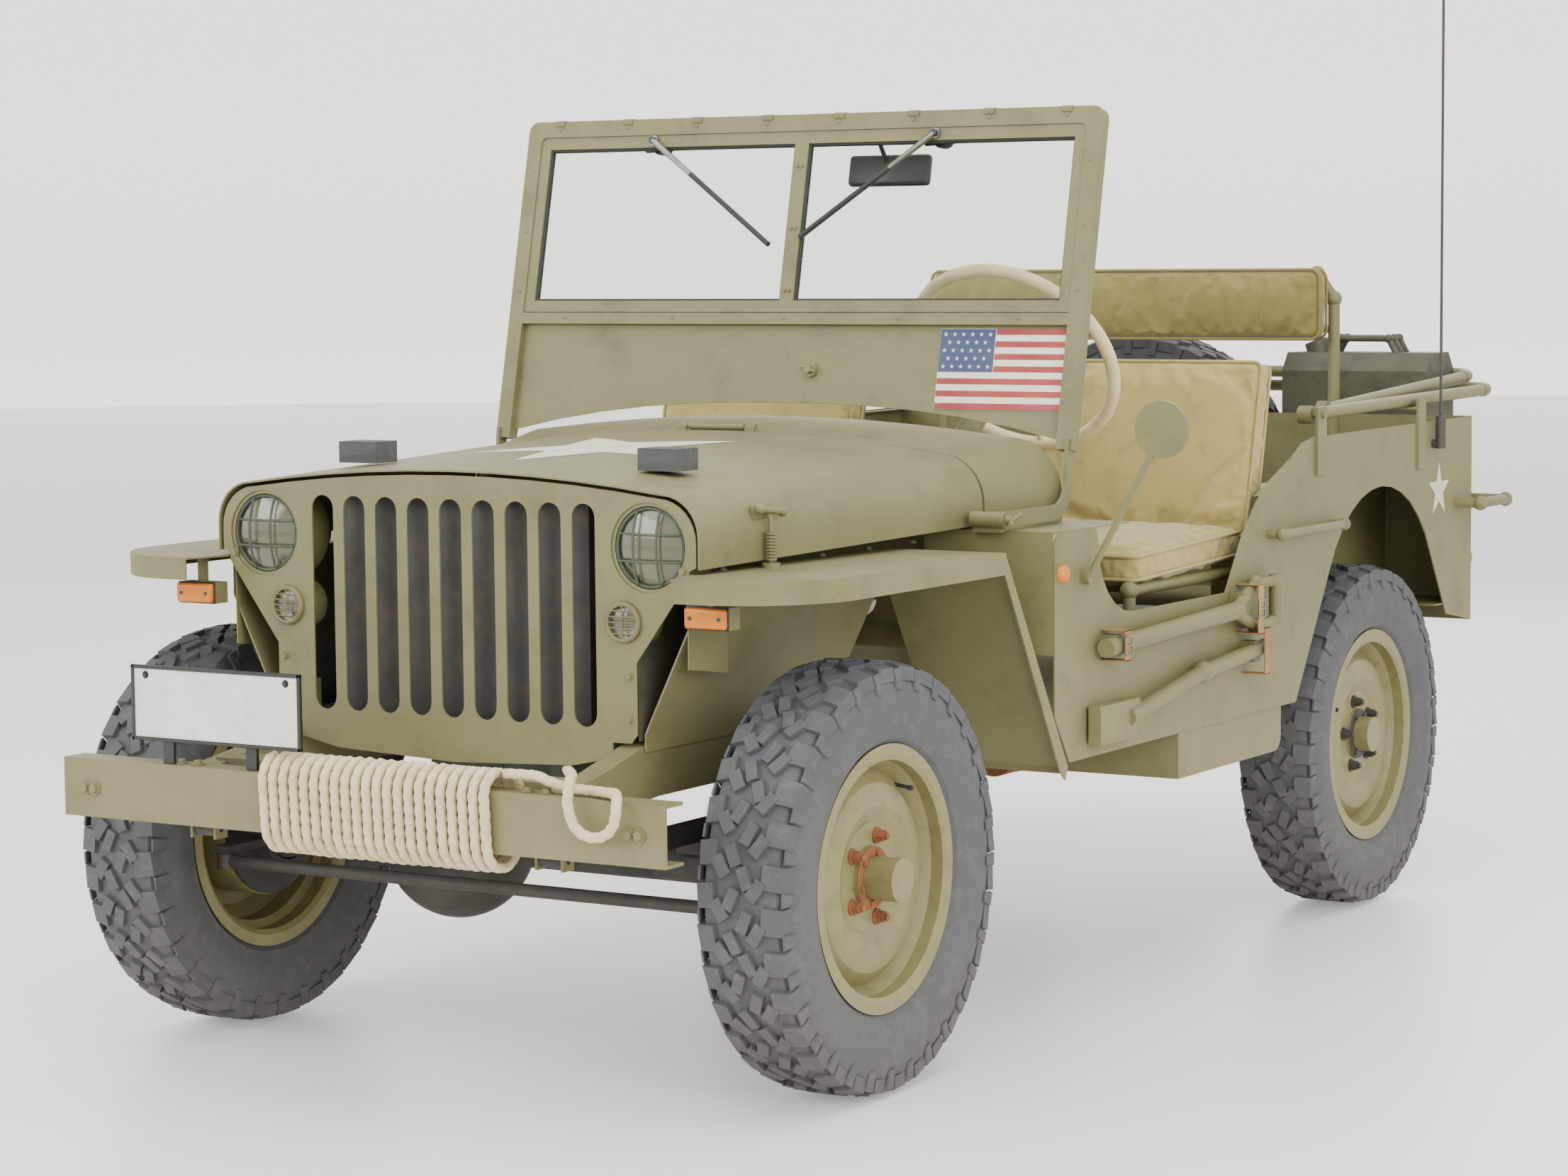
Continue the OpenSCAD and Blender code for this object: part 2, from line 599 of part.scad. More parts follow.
// fender: flat top with a rounded front corner, a lip, a rear skirt and the splash panel
fender_in = hood_front - 22;
fender_lip = 38;
fender_back = front_y + 371;
fender_foot = [front_y + 600, axle_z + 110];
function fender_plan(t) = concat(
    [[fender_in, grille_y + 6], [fender_in + 22, grille_y - 88 + t]],
    arc(half_w - 190 - t, grille_y + 102, 190, -80, 0, 8),
    [[half_w - t, fender_back], [fender_in, fender_back]]);
module fenders() color(paint) both_sides() {
    difference() {
        sheet_z(fender_z - fender_lip, fender_lip, fender_plan(0));
        sheet_z(fender_z - fender_lip - 1, fender_lip + 1 - sheet, concat(
            [[fender_in - 9, grille_y - 200], [fender_in + 26, grille_y - 84]],
            arc(half_w - 190 - sheet, grille_y + 102 + sheet, 187, -80, 0, 8),
            [[half_w - sheet, fender_back + 1], [fender_in - 9, fender_back + 1]]));
    }
    // rear skirt, from the flat top down to the body's sill
    sheet_skirt();
    // splash panel between the fender and the frame
    sheet_y_panel();
}
module sheet_skirt() {
    a = [fender_back - 1, fender_z];
    b = fender_foot;
    difference() {
        sheet_x(fender_in, half_w - fender_in, [a, b, [b[0] - 10, b[1] - 22], [b[0] - 30, b[1] - 4], [a[0] - 2, a[1] - 36]]);
        sheet_x(fender_in - 1, half_w - fender_in + 1 - sheet, [[a[0] - 3, a[1] - sheet], [a[0] - sheet, a[1] - sheet],
            [b[0] - 3.5, b[1] - 1], [b[0] - 14, b[1] - 60], [a[0] - 60, a[1] - 60]]);
    }
}
module sheet_y_panel() {
    x0 = fender_in;
    x1 = rail_x + rail_w / 2 + 2;
    translate([0, fender_back, 0]) rotate([90, 0, 0]) linear_extrude(fender_back - grille_y - 10)
        polygon([[x0, fender_z - eps - sheet / 2], [x0 + sheet, fender_z - sheet / 2], [x0 + sheet, fender_z - 70],
            [x1 + sheet, axle_z + 240], [x1 + sheet, axle_z + 212], [x1, axle_z + 212], [x1, axle_z + 241], [x0, fender_z - 69]]);
}

module cowl() color(paint) difference() {
    union() {
        difference() {
            shell(hood_y + air, cowl_front(0), cowl_y, cowl_outline(0));
            shell(hood_y + air - 1, cowl_front(sheet, 60), cowl_y + 1, cowl_outline(sheet, 60));
        }
        // hinge barrel for the hood
        disc_x(-60, 60, 5.5, hinge_y, hinge_z);
        box([-60, hood_y + 5.1, hood_z + 20], [60, hood_y + 8, hinge_z]);
        // firewall
        sheet_y(hood_y + 12, sheet, concat(cowl_front(sheet + 1), [[-hood_rear + 8, floor_z + 165], [hood_rear - 8, floor_z + 165]]));
        // foot wells: front wall, top and outer wall as far as the body side
        sheet_x(-half_w + sheet + seat_gap, body_w - 2 * sheet - 2 * seat_gap,
            [[foot_y, floor_z + 130], [foot_y + sheet, floor_z + 132], [hood_y + 125.7, floor_z + sheet],
             [hood_y + 125.7, floor_z], [hood_y + 121, floor_z]]);
        both_sides() {
            sheet_y(foot_y, sheet, [[hood_rear - 90, floor_z + 130], [half_w - sheet - seat_gap, floor_z + 130],
                [half_w - sheet - seat_gap, foot_z], [hood_rear - 90, foot_z]]);
            sheet_z(foot_z - sheet, sheet, [[hood_rear - 90, foot_y], [half_w - sheet - seat_gap, foot_y],
                [half_w - sheet - seat_gap, door_front - 6], [cowl_half - 4, door_front - 6], [cowl_half - 14, cowl_y],
                [hood_rear - 10, hood_y + air + 6], [hood_rear - 90, hood_y - 10]]);
            sheet_x(hood_rear - 93, sheet, [[foot_y, floor_z + 100], [hood_y + 14, floor_z + 60],
                [hood_y + 14, foot_z + 16], [foot_y, foot_z]]);
        }
        sheet_x(-hood_rear + 92, 2 * hood_rear - 184, [[foot_y, floor_z + 130], [hood_y + 12, floor_z + 165],
            [hood_y + 15, floor_z + 168], [foot_y, floor_z + 134]]);
        // windscreen pivot lugs with their pins
        both_sides() {
            disc_x(hood_rear + 12, pivot_x - 7 - seat_gap, 14, pivot_y, pivot_z);
            disc_x(hood_rear + 12, pivot_x + 2, 6 - fit, pivot_y, pivot_z);
            box([hood_rear + 12, pivot_y, foot_z - sheet], [pivot_x - 7 - seat_gap, foot_y + 14, pivot_z + 10]);
        }
    }
    column_line(30);
    disc_x(-100, 100, 3 + fit, hinge_y, hinge_z);
    // room for the gearbox cover
    translate([0, foot_y - 20, floor_z + sheet / 2]) rotate([-90, 0, 0]) cylinder(h = 200, r = 143);
}
function cowl_front(t, drop = 0) =
    shell_outline(hood_rear + 1 - t, hood_low + 14, hood_z + hood_rise - t, hood_z - 92, 88 - t, drop);

// ---- body ----
function side_outline() = concat(
    [[foot_y + 55, axle_z + 117], [foot_y, axle_z + 200], [foot_y, foot_z - 30]],
    arc(foot_y + 30, foot_z - 30, 30, 180, 90, 4),
    [[door_front - 150, foot_z]],
    arc(door_front - 150, door_z + 158, foot_z - door_z - 158, 90, 0, 4),
    arc(door_front, door_z + 140, 140, 180, 270, 6),
    [[door_front + door_w, door_z], [door_front + door_w + 75, door_z + 100], [door_front + door_w + 155, door_z + 175],
     [rear_y - 640, top_z - 108], [rear_y - 460, top_z - 40]],
    [[rear_y - 415, top_z - 16], [rear_y - 360, top_z - 8], [tail_y, top_z], [tail_y, axle_z + 197]],
    [[rear_y + 369, axle_z + 222], [rear_y + 278, axle_z + 358]],
    arc(rear_y, arch_z, arch_r, 30, 150, 12),
    [[rear_y - 278, axle_z + 358], [rear_y - 440, axle_z + 117]]);
module body_sides() color(paint) both_sides() {
    difference() {
        union() {
            sheet_x(half_w - sheet, sheet, side_outline());
            // inner flange that stiffens the top edge
            sheet_x(half_w - 22, 20, [[rear_y - 340, top_z - 9], [tail_y - sheet - seat_gap, top_z - 3],
                [tail_y - sheet - seat_gap, top_z - 6], [rear_y - 340, top_z - 12]]);
            // bow brackets on the outside
            sheet_x(half_w - eps, 6, [[bow_y - 22, bow_z - 120], [bow_y + 22, bow_z - 120],
                [bow_y + 22, bow_z + 16], [bow_y - 22, bow_z + 16]]);
            sheet_x(half_w - eps, 6, [[tail_y - 325, top_z - 100], [tail_y - 285, top_z - 100],
                [tail_y - 285, saddle_z + 20], [tail_y - 325, saddle_z + 20]]);
            box([bow_x - 14, tail_y - 325, saddle_z - 5], [half_w + 3, tail_y - 285, saddle_z]);
        }
        disc_x(half_w - 30, half_w + 30, 7 + fit, bow_y, bow_z);
    }
}
saddle_z = bow_z + 17 * (tail_y - 305 - bow_y) / (bow_end - bow_y) - bow_tube / cos(0.9) - seat_gap;

module rear_panel() color(paint) {
    w = half_w - sheet - seat_gap;
    sheet_y(tail_y - sheet, sheet, [[-w, axle_z + 197], [w, axle_z + 197], [w, top_z], [-w, top_z]]);
    // spare wheel carrier
    translate([spare[0], tail_y - eps, spare[2]]) rotate([-90, 0, 0]) {
        cylinder(h = spare[1] - tail_y + 28 - seat_gap + eps, r = 70);
        cylinder(h = spare[1] - tail_y + 60, r = 36);
    }
    // fuel can bracket
    box([can[0] - 10, tail_y - eps, can[2] - 18], [can[0] + can_size[0] + 10, tail_y + can_size[1] + 32, can[2] - seat_gap]);
    box([can[0] - 10, tail_y - eps, can[2] - 18], [can[0] + can_size[0] + 10, tail_y + 6, can[2] + 230]);
}
can_size = [345, 165, 430];
can = [spare[0] + tyre_r + 20, tail_y + 12, axle_z + 350];
module fuel_can() color("#5a5a4c") {
    sheet_x(can[0], can_size[0], [[can[1], can[2]], [can[1] + can_size[1], can[2]], [can[1] + can_size[1], can[2] + can_size[2] - 40],
        [can[1] + can_size[1] - 30, can[2] + can_size[2]], [can[1] + 30, can[2] + can_size[2]], [can[1], can[2] + can_size[2] - 40]]);
    for (y = [52, 82.5, 113]) {
        p = [can[0] + 90, can[1] + y, can[2] + can_size[2] - 5];
        bent_bar([p, p + [20, 0, 36], p + [145, 0, 36], p + [165, 0, 0]], 7);
    }
    bar(can + [60, 82, can_size[2] - 10], can + [48, 82, can_size[2] + 24], 27);
}

module floor() color(paint) difference() {
    w = half_w - sheet - seat_gap;
    step = rail_kick + 14;
    back = tail_y - sheet - seat_gap;
    union() {
        // front floor, step and rear floor
        box([-w, hood_y + 126, floor_z], [w, rear_y - 455, floor_z + sheet]);
        box([-w, rear_y - 455 - sheet, floor_z], [w, rear_y - 455, floor_z + step]);
        box([-w, rear_y - 455 - sheet, floor_z + step - sheet], [w, back, floor_z + step]);
        // wheel houses: inner wall, top and front wall
        both_sides() {
            box([house_x - sheet, rear_y - house_l / 2, floor_z + step - sheet], [house_x, back, house_z]);
            box([house_x - sheet, rear_y - house_l / 2, house_z - sheet], [w, back, house_z]);
            box([house_x - sheet, rear_y - house_l / 2, floor_z], [w, rear_y - house_l / 2 + sheet, house_z]);
        }
        // cover over the gearbox
        translate([0, foot_y + 12, floor_z + sheet / 2]) rotate([-90, 0, 0]) cylinder(h = hood_y + 646 - foot_y - 12, r = 142);
        // lugs for the rear backrest
        both_sides() box([house_x - 2, fold[0] - 16, house_z - sheet], [house_x + 8, fold[0] + 16, fold[1] + 16]);
    }
    translate([0, foot_y, floor_z + sheet / 2]) rotate([-90, 0, 0]) cylinder(h = hood_y + 646 - foot_y - sheet, r = 142 - sheet);
    box([-200, foot_y, floor_z - 200], [200, hood_y + 646 - sheet, floor_z]);
    both_sides() disc_x(house_x - 20, house_x + 20, 8 + fit, fold[0], fold[1]);
    // openings over the wheels and round the levers
    both_sides() box([house_x, rear_y - house_l / 2 + sheet, floor_z - 10], [half_w, back - 200, house_z - sheet]);
    box([-160, -128, floor_z], [-20, 130, floor_z + 200]);
}

module dashboard() color(paint) {
    y = cowl_y - 1;
    low = hood_low + 38;
    difference() {
        sheet_y(y - sheet, sheet, concat([[cowl_half - 40, low], [cowl_half - 16, low + 30]],
            shell_outline(cowl_half - sheet - 1.8, hood_low + 60, hood_z + 44, hood_z - 84.6, 96),
            [[-cowl_half + 16, low + 30], [-cowl_half + 40, low]]));
        for (x = [-105, 0, 105]) disc_y(y - 20, y + 20, 36, x, hood_z - 62);
    }
    for (x = [-105, 0, 105]) disc_y(y - 40, y - sheet + 2, 36 - fit, x, hood_z - 62);
}

module fuel_tank() color(paint) {
    z = floor_z + sheet + seat_gap;
    box([seat_in + 38, hood_y + 480, z], [seat_out - 38, hood_y + 830, z + 130]);
    // tank well below the floor
    sheet_x(rail_x + rail_w / 2 + 10, half_w - sheet - seat_gap - rail_x - rail_w / 2 - 10,
        concat([[hood_y + 461, floor_z - seat_gap], [hood_y + 461, axle_z + 30]],
        arc(hood_y + 900, axle_z + 60, 30, -90, 0, 4), [[hood_y + 930, floor_z - seat_gap]]));
}

// ---- steering column ----
column_dir = [0, cos(sw_lean), sin(sw_lean)];
column_len = 1150;
module column_line(r) bar(sw - column_dir * (column_len + 60), sw - column_dir * 20, r);
module steering_column() color(steel) {
    foot = sw - column_dir * column_len;
    difference() {
        union() {
            bar(foot, sw - column_dir * 46, 22);
            box([foot[0] - 46, foot[1] - 55, foot[2] - 60], [rail_x - rail_w / 2 - seat_gap, foot[1] + 45, foot[2] + 40]);
        }
        bar(sw - column_dir * 120, sw, 10 + fit);
    }
}
module steering_wheel() color("#d8c8a0") {
    bar(sw - column_dir * 118, sw + column_dir * 6, 10);
    bar(sw - column_dir * 45.7, sw + column_dir * 12, 30);
    translate(sw) rotate([-(90 - sw_lean), 0, 0]) {
        rotate_extrude() translate([wheel_rim_r, 0]) circle(r = 11, $fn = 24);
        for (a = [90, 210, 330]) rotate([0, 0, a]) bar([0, 0, 0], [wheel_rim_r, 0, 0], 6);
    }
}

// ---- windscreen, drawn upright at the origin and then leaned back ----
module on_screen() translate([0, screen_y, screen_z]) rotate([-screen_lean, 0, 0]) children();
glass_low = 0.405;
module screen_outline(t, low) {
    r = 20 - t / 4;
    w = screen_half - t;
    h = screen_h - t;
    polygon(concat([[-w, low], [w, low]], arc(w - r, h - r, r, 0, 90, 6), arc(-w + r, h - r, r, 90, 180, 6)));
}
module windscreen_frame() color(paint) {
    bar_low = screen_h * glass_low - 24;
    on_screen() translate([0, screen_t / 2, 0]) rotate([90, 0, 0]) linear_extrude(screen_t) difference() {
        screen_outline(0, 8);
        screen_outline(32, screen_h * glass_low - 2);
        translate([32 - screen_half, -1]) square([2 * screen_half - 64, bar_low + 1]);
    }
    // lower panel, arched over the cowl
    on_screen() translate([0, 4, 0]) rotate([90, 0, 0]) linear_extrude(sheet) polygon(lower_panel(-31, bar_low + 1));
    // arms that run forward to the pivots
    both_sides() difference() {
        union() {
            sheet_x(pivot_x - 7, 7, arm_outline());
            disc_x(pivot_x - 7, pivot_x + 4, 15, pivot_y, pivot_z);
        }
        disc_x(pivot_x - 50, pivot_x + 50, 6, pivot_y, pivot_z);
    }
}
// the panel's lower edge follows the cowl's crown
function lower_panel(inset, top) = let (w = screen_half + inset)
    concat([[w, top], [w, 26]], [for (i = [1:11]) let (x = w * (1 - i / 6)) [x, 26 + 62 * (1 - pow(abs(x) / w, 2.4))]],
    [[-w, 26], [-w, top]]);
function arm_outline() = let (x = screen_y, z = screen_z) concat(
    [[x + 12, z + 30], [x - 14, z + 30], [x - 20, pivot_z + 60]],
    arc(x - 66, pivot_z + 60, 46, 0, -90, 6),
    [[pivot_y, pivot_z + 14], [pivot_y, pivot_z - 14]],
    arc(x - 72, pivot_z + 64, 78, -90, 0, 6));

module glass_frame() color(paint) on_screen() translate([0, 10, 0]) rotate([90, 0, 0]) linear_extrude(20) difference() {
    screen_outline(32 + seat_gap, screen_h * glass_low);
    for (s = [-1, 1]) pane(s, 0);
}
module pane(s, shrink) {
    x0 = 15 + shrink;
    x1 = screen_half - 54 - shrink;
    z0 = screen_h * glass_low + 22 + shrink;
    z1 = screen_h - 56 - shrink;
    translate([s > 0 ? x0 : -x1, z0]) square([x1 - x0, z1 - z0]);
}
module windscreen_glass() color("lightblue", 0.4) on_screen() translate([0, 2.5, 0]) rotate([90, 0, 0])
    linear_extrude(5) for (s = [-1, 1]) pane(s, seat_gap);

module wipers() color("silver") on_screen() for (p = [[-335, -45, 0.42], [290, 22, 0.4]]) {
    top = [p[0], -10 - seat_gap - 6, screen_h - 44];
    tip = [p[1], -20, screen_h * (1 - p[2]) + 16];
    bar(top, tip, 3);
    translate(top) rotate([-90, 0, 0]) cylinder(h = 6, r = 10);
    bar(tip, tip + (top - tip) * 0.7, 5);
}

// ---- seats ----
function mirrored(p, s) = [p[0] * s, p[1], p[2]];
seat_in = half_w - sheet - 35 - seat_w;
seat_out = seat_in + seat_w;
seat_y0 = hood_y + 365;
seat_y1 = hood_y + 885;
seat_z = axle_z + 388;
back_top = [seat_y1 + 92, axle_z + 782];
back_low = [seat_y1 + 14, seat_z + 60];

module front_seat_frame(s) {
    r = seat_tube;
    for (x = [seat_in + 20, seat_out - 20]) {
        bent_bar([for (p = [[x, back_top[0], back_top[1]], [x, seat_y1, seat_z], [x, seat_y0, seat_z], [x, foot_y1, hinge_f]])
            mirrored(p, s)], r);
        bar([s * x, seat_y1 - 50, floor_z + sheet + seat_gap], [s * x, seat_y1 - 50, seat_z], r);
        disc_x(s * x - 20, s * x + 20, 13.4, foot_y1, hinge_f);
    }
    for (p = [[seat_y0 + 60, seat_z], [back_top[0] - 4, back_top[1] - 14]])
        bar([s * (seat_in + 20), p[0], p[1]], [s * (seat_out - 20), p[0], p[1]], r - 2);
}
// front feet end in eyes close above the floor, on the line about which the passenger's seat tips
foot_y1 = seat_y0 + 6;
hinge_f = floor_z + sheet + 14;
cushion_low = 1.45 * seat_tube + seat_gap;
module front_seat_pads(s) {
    x0 = seat_in + 4;
    x1 = seat_out - 4;
    // cushion, a little higher at the front
    seat_pad(s, x0, x1, [[seat_y0 - 6, seat_z + cushion_low], [seat_y1 - 40, seat_z + cushion_low],
        [seat_y1 - 40, seat_z + 48], [seat_y0 + 30, seat_z + 84], [seat_y0 - 6, seat_z + 60]]);
    // back, in front of its tubes
    d = (back_top - back_low) / norm(back_top - back_low);
    n = [-d[1], d[0]];
    f = seat_tube + seat_gap;
    seat_pad(s, x0 - 14, x1 + 14, [back_low + n * f + d * 6, back_top + n * f + d * 14, back_top + n * (f + 58) + d * 6,
        back_low + n * (f + 64) + d * 10]);
}
module seat_pad(s, x0, x1, outline) sheet_x(s > 0 ? x0 : -x1, x1 - x0, outline);

module driver_seat_frame() color(steel) front_seat_frame(1);
module driver_seat_pads() color(canvas) front_seat_pads(1);
module passenger_seat_frame() color(steel) front_seat_frame(-1);
module passenger_seat_pads() color(canvas) front_seat_pads(-1);

// rear bench: the cushion is fixed, and the back folds forward on to it
bench_half = house_x - sheet - 18;
bench_y0 = rear_y - 190;
bench_y1 = rear_y + 250;
bench_z = floor_z + rail_kick + 14;
fold = [rear_y + 300, house_z + 22];
module rear_seat_cushion() color(canvas) {
    r = 12;
    x = bench_half - 16;
    box([-bench_half, bench_y0, bench_z + 130 + r + seat_gap], [bench_half, bench_y1, bench_z + 130 + r + 75]);
    bent_bar([[x, bench_y0 + 30, bench_z + seat_gap], [x, bench_y0 + 30, bench_z + 130], [-x, bench_y0 + 30, bench_z + 130],
        [-x, bench_y0 + 30, bench_z + seat_gap]], r);
    bent_bar([[x, bench_y1 - 30, bench_z + seat_gap], [x, bench_y1 - 30, bench_z + 130], [-x, bench_y1 - 30, bench_z + 130],
        [-x, bench_y1 - 30, bench_z + seat_gap]], r);
}
back_x = bench_half - 14;
back_z = axle_z + 970;
module rear_seat_frame() color(steel) {
    r = 12;
    bent_bar(concat([[back_x, fold[0], fold[1]], [back_x, fold[0], back_z - 66], [back_x - 40, fold[0], back_z - 12],
        [-back_x + 40, fold[0], back_z - 12], [-back_x, fold[0], back_z - 66], [-back_x, fold[0], fold[1]]]), r);
    bar([-back_x, fold[0], back_z - 132], [back_x, fold[0], back_z - 132], 8);
    // pivot pins, which turn in lugs on the wheel houses
    both_sides() disc_x(back_x - 14, house_x + 12, 8, fold[0], fold[1]);
}
module rear_seat_back() color("#7f7432") {
    d = 1.45 * 12 + seat_gap;
    sheet_y(fold[0] - d - 52, 52, concat([[-back_x + 22, back_z - 146], [back_x - 22, back_z - 146]],
        arc(back_x - 60, back_z - 48, 48, 0, 90, 6), arc(-back_x + 60, back_z - 48, 48, 90, 180, 6)));
}

// ---- folding bows ----
bow_bend = 95;
module bow_shape(x, y0, z0, y1, z1, r) {
    reach = norm([y1 - y0, z1 - z0]);
    translate([0, y0, z0]) rotate([atan2(z1 - z0, y1 - y0), 0, 0]) {
        both_sides() {
            bar([x, 0, 0], [x, reach - bow_bend, 0], r);
            bar([x, reach - bow_bend - 12, 0], [x, reach - bow_bend + 6, 0], r + 1.5);
            bar([x - bow_bend - 12, reach, 0], [x - bow_bend + 6, reach, 0], r + 1.5);
            translate([x - bow_bend, reach - bow_bend, 0]) rotate_extrude(angle = 90) translate([bow_bend, 0]) circle(r = r);
        }
        bar([-x + bow_bend, reach, 0], [x - bow_bend, reach, 0], r);
    }
}
bow2_z = bow_z + 17 * (bow2_y - bow_y) / (bow_end - bow_y);
module top_bow_front() color(paint) {
    bow_shape(bow_x, bow_y, bow_z, bow_end, bow_z + 17, bow_tube);
    both_sides() {
        disc_x(bow_x - 15, bow_x + 15, 18, bow_y, bow_z);
        disc_x(bow_x + 2, half_w + 12, 7, bow_y, bow_z);
        disc_x(bow2_x - 16, bow_x - 4, 6, bow2_y, bow2_z);
    }
}
module top_bow_rear() color(paint) difference() {
    union() {
        bow_shape(bow2_x, bow2_y, bow2_z, bow_end - 30, bow_z + 50, bow_tube);
        both_sides() disc_x(bow2_x - 10, bow2_x + 10, 19, bow2_y, bow2_z);
    }
    both_sides() disc_x(bow2_x - 60, bow2_x + 60, 6 + fit, bow2_y, bow2_z);
}

// ---- fittings ----
module aerial() color("#55554a") {
    x = half_w + 6 + 12;
    y = tail_y - 232;
    z = top_z - 60;
    bar([half_w + seat_gap, y, z + 10], [x, y, z + 10], 9);
    bar([x, y, z], [x, y, z + 70], 11);
    bar([x, y, z + 60], [x, y, z + aerial_h], 3);
}

mirror_head = [half_w + 150, hood_y + 65, axle_z + 701];
mirror_foot = [half_w, hood_y + 68, axle_z + 440];
module wing_mirror() color(paint) {
    bar([mirror_foot[0] + seat_gap, mirror_foot[1], mirror_foot[2]], mirror_foot + [14, 0, 0], 14);
    bar(mirror_foot + [10, 0, 0], mirror_head + [0, 6, -8], 6);
    translate(mirror_head) rotate([-90, 0, 0]) cylinder(h = 12, r = 50);
}

tool_x = half_w + 26;
module tools() color(paint) {
    y = door_front - 160;
    // shovel: handle, socket and blade
    bar([tool_x, y, axle_z + 310], [tool_x, y + 560, axle_z + 330], 17);
    bent_bar([[tool_x, y + 540, axle_z + 329], [tool_x, y + 640, axle_z + 375], [tool_x, y + 745, axle_z + 372]], 11);
    bent_bar([[tool_x, y + 540, axle_z + 329], [tool_x, y + 640, axle_z + 292], [tool_x, y + 745, axle_z + 298]], 11);
    bar([tool_x, y + 735, axle_z + 290], [tool_x, y + 735, axle_z + 385], 13);
    // axe: head at the front and its handle
    box([half_w + 6, y - 30, axle_z + 140], [half_w + 30, y + 130, axle_z + 210]);
    bent_bar([[tool_x, y + 90, axle_z + 178], [tool_x, y + 400, axle_z + 228], [tool_x, y + 690, axle_z + 250]], 15);
    // clamps that hold them to the body side
    for (p = [[y + 40, 311], [y + 590, 340], [y + 640, 244], [y + 120, 178]])
        box([half_w + seat_gap, p[0] - 14, axle_z + p[1] - 20], [tool_x + 4, p[0] + 14, axle_z + p[1] + 20]);
}

module grab_handles() color(paint) both_sides() {
    // rail on the body side
    y0 = rear_y - 574;
    y1 = rear_y - 266;
    z = axle_z + 460;
    x = half_w + seat_gap;
    bent_bar([[x, y0, z], [x + 28, y0, z], [x + 28, y1, z], [x, y1, z]], 9);
    // handle round the rear corner
    bent_bar([[x, tail_y - 90, z], [x + 55, tail_y - 90, z], [x + 55, tail_y + 62, z],
        [x - 70, tail_y + 62, z], [x - 70, tail_y + seat_gap, z]], 11);
}

chassis_frame();
front_bumper();
rope_coil();
rope_tail();
number_plate();
leaf_springs();
shock_absorbers();
front_axle();
rear_axle();
prop_shafts();
engine_and_gearbox();
exhaust();
radiator();
grille();
lamps();
fenders();
cowl();
body_sides();
rear_panel();
floor();
dashboard();
fuel_tank();
steering_column();
driver_seat_frame();
driver_seat_pads();
aerial();
wing_mirror();
tools();
grab_handles();
bumperettes();
pintle_hook();
spare_tyre();
spare_wheel();
fuel_can();
hood();
hood_blocks();
windscreen_frame();
glass_frame();
windscreen_glass();
wipers();
steering_wheel();
knuckle_left();
knuckle_right();
tie_rod();
passenger_seat_frame();
passenger_seat_pads();
rear_seat_frame();
rear_seat_cushion();
rear_seat_back();
top_bow_front();
top_bow_rear();
tyre_front_left();
tyre_front_right();
tyre_rear_left();
tyre_rear_right();
wheel_front_left();
wheel_front_right();
wheel_rear_left();
wheel_rear_right();
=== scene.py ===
import json
import math
import random

import bmesh
import bpy
from mathutils import Matrix, Vector, noise
from mathutils.bvhtree import BVHTree

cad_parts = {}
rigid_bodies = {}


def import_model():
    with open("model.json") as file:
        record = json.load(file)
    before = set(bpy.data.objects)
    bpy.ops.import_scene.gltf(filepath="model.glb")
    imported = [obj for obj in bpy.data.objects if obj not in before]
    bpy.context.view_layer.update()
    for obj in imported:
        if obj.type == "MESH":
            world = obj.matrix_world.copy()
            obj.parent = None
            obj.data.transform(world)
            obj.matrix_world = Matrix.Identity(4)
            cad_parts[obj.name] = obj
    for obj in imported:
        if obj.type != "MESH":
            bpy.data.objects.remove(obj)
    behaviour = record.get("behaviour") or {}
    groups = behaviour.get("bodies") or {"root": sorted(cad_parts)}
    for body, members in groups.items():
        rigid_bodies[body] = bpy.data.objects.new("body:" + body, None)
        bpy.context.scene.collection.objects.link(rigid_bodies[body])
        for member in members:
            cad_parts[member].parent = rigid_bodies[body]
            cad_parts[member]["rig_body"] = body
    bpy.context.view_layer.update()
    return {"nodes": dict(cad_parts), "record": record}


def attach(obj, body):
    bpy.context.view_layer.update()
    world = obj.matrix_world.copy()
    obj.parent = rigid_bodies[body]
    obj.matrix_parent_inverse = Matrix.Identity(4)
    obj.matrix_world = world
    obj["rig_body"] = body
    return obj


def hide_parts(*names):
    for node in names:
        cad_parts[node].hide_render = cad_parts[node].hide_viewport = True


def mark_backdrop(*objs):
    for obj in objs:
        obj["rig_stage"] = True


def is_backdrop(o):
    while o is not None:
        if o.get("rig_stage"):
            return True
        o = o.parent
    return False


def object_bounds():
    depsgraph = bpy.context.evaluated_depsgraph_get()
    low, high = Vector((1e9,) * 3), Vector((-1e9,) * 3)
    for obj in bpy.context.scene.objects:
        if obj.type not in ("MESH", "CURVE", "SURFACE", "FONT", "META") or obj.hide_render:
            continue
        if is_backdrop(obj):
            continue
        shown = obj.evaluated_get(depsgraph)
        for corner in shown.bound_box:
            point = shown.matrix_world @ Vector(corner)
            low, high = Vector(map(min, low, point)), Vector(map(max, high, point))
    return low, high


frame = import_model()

random.seed(44)
MM = 0.001
REAR, FRONT = 1.016, -1.016
AXLE_Z = 0.355
TRACK = 0.632
HALF_W = 0.720
GRILLE_Y = -1.240
HOOD_Y = -0.420
BUMPER_Y = -1.520
FENDER_Z = 0.858

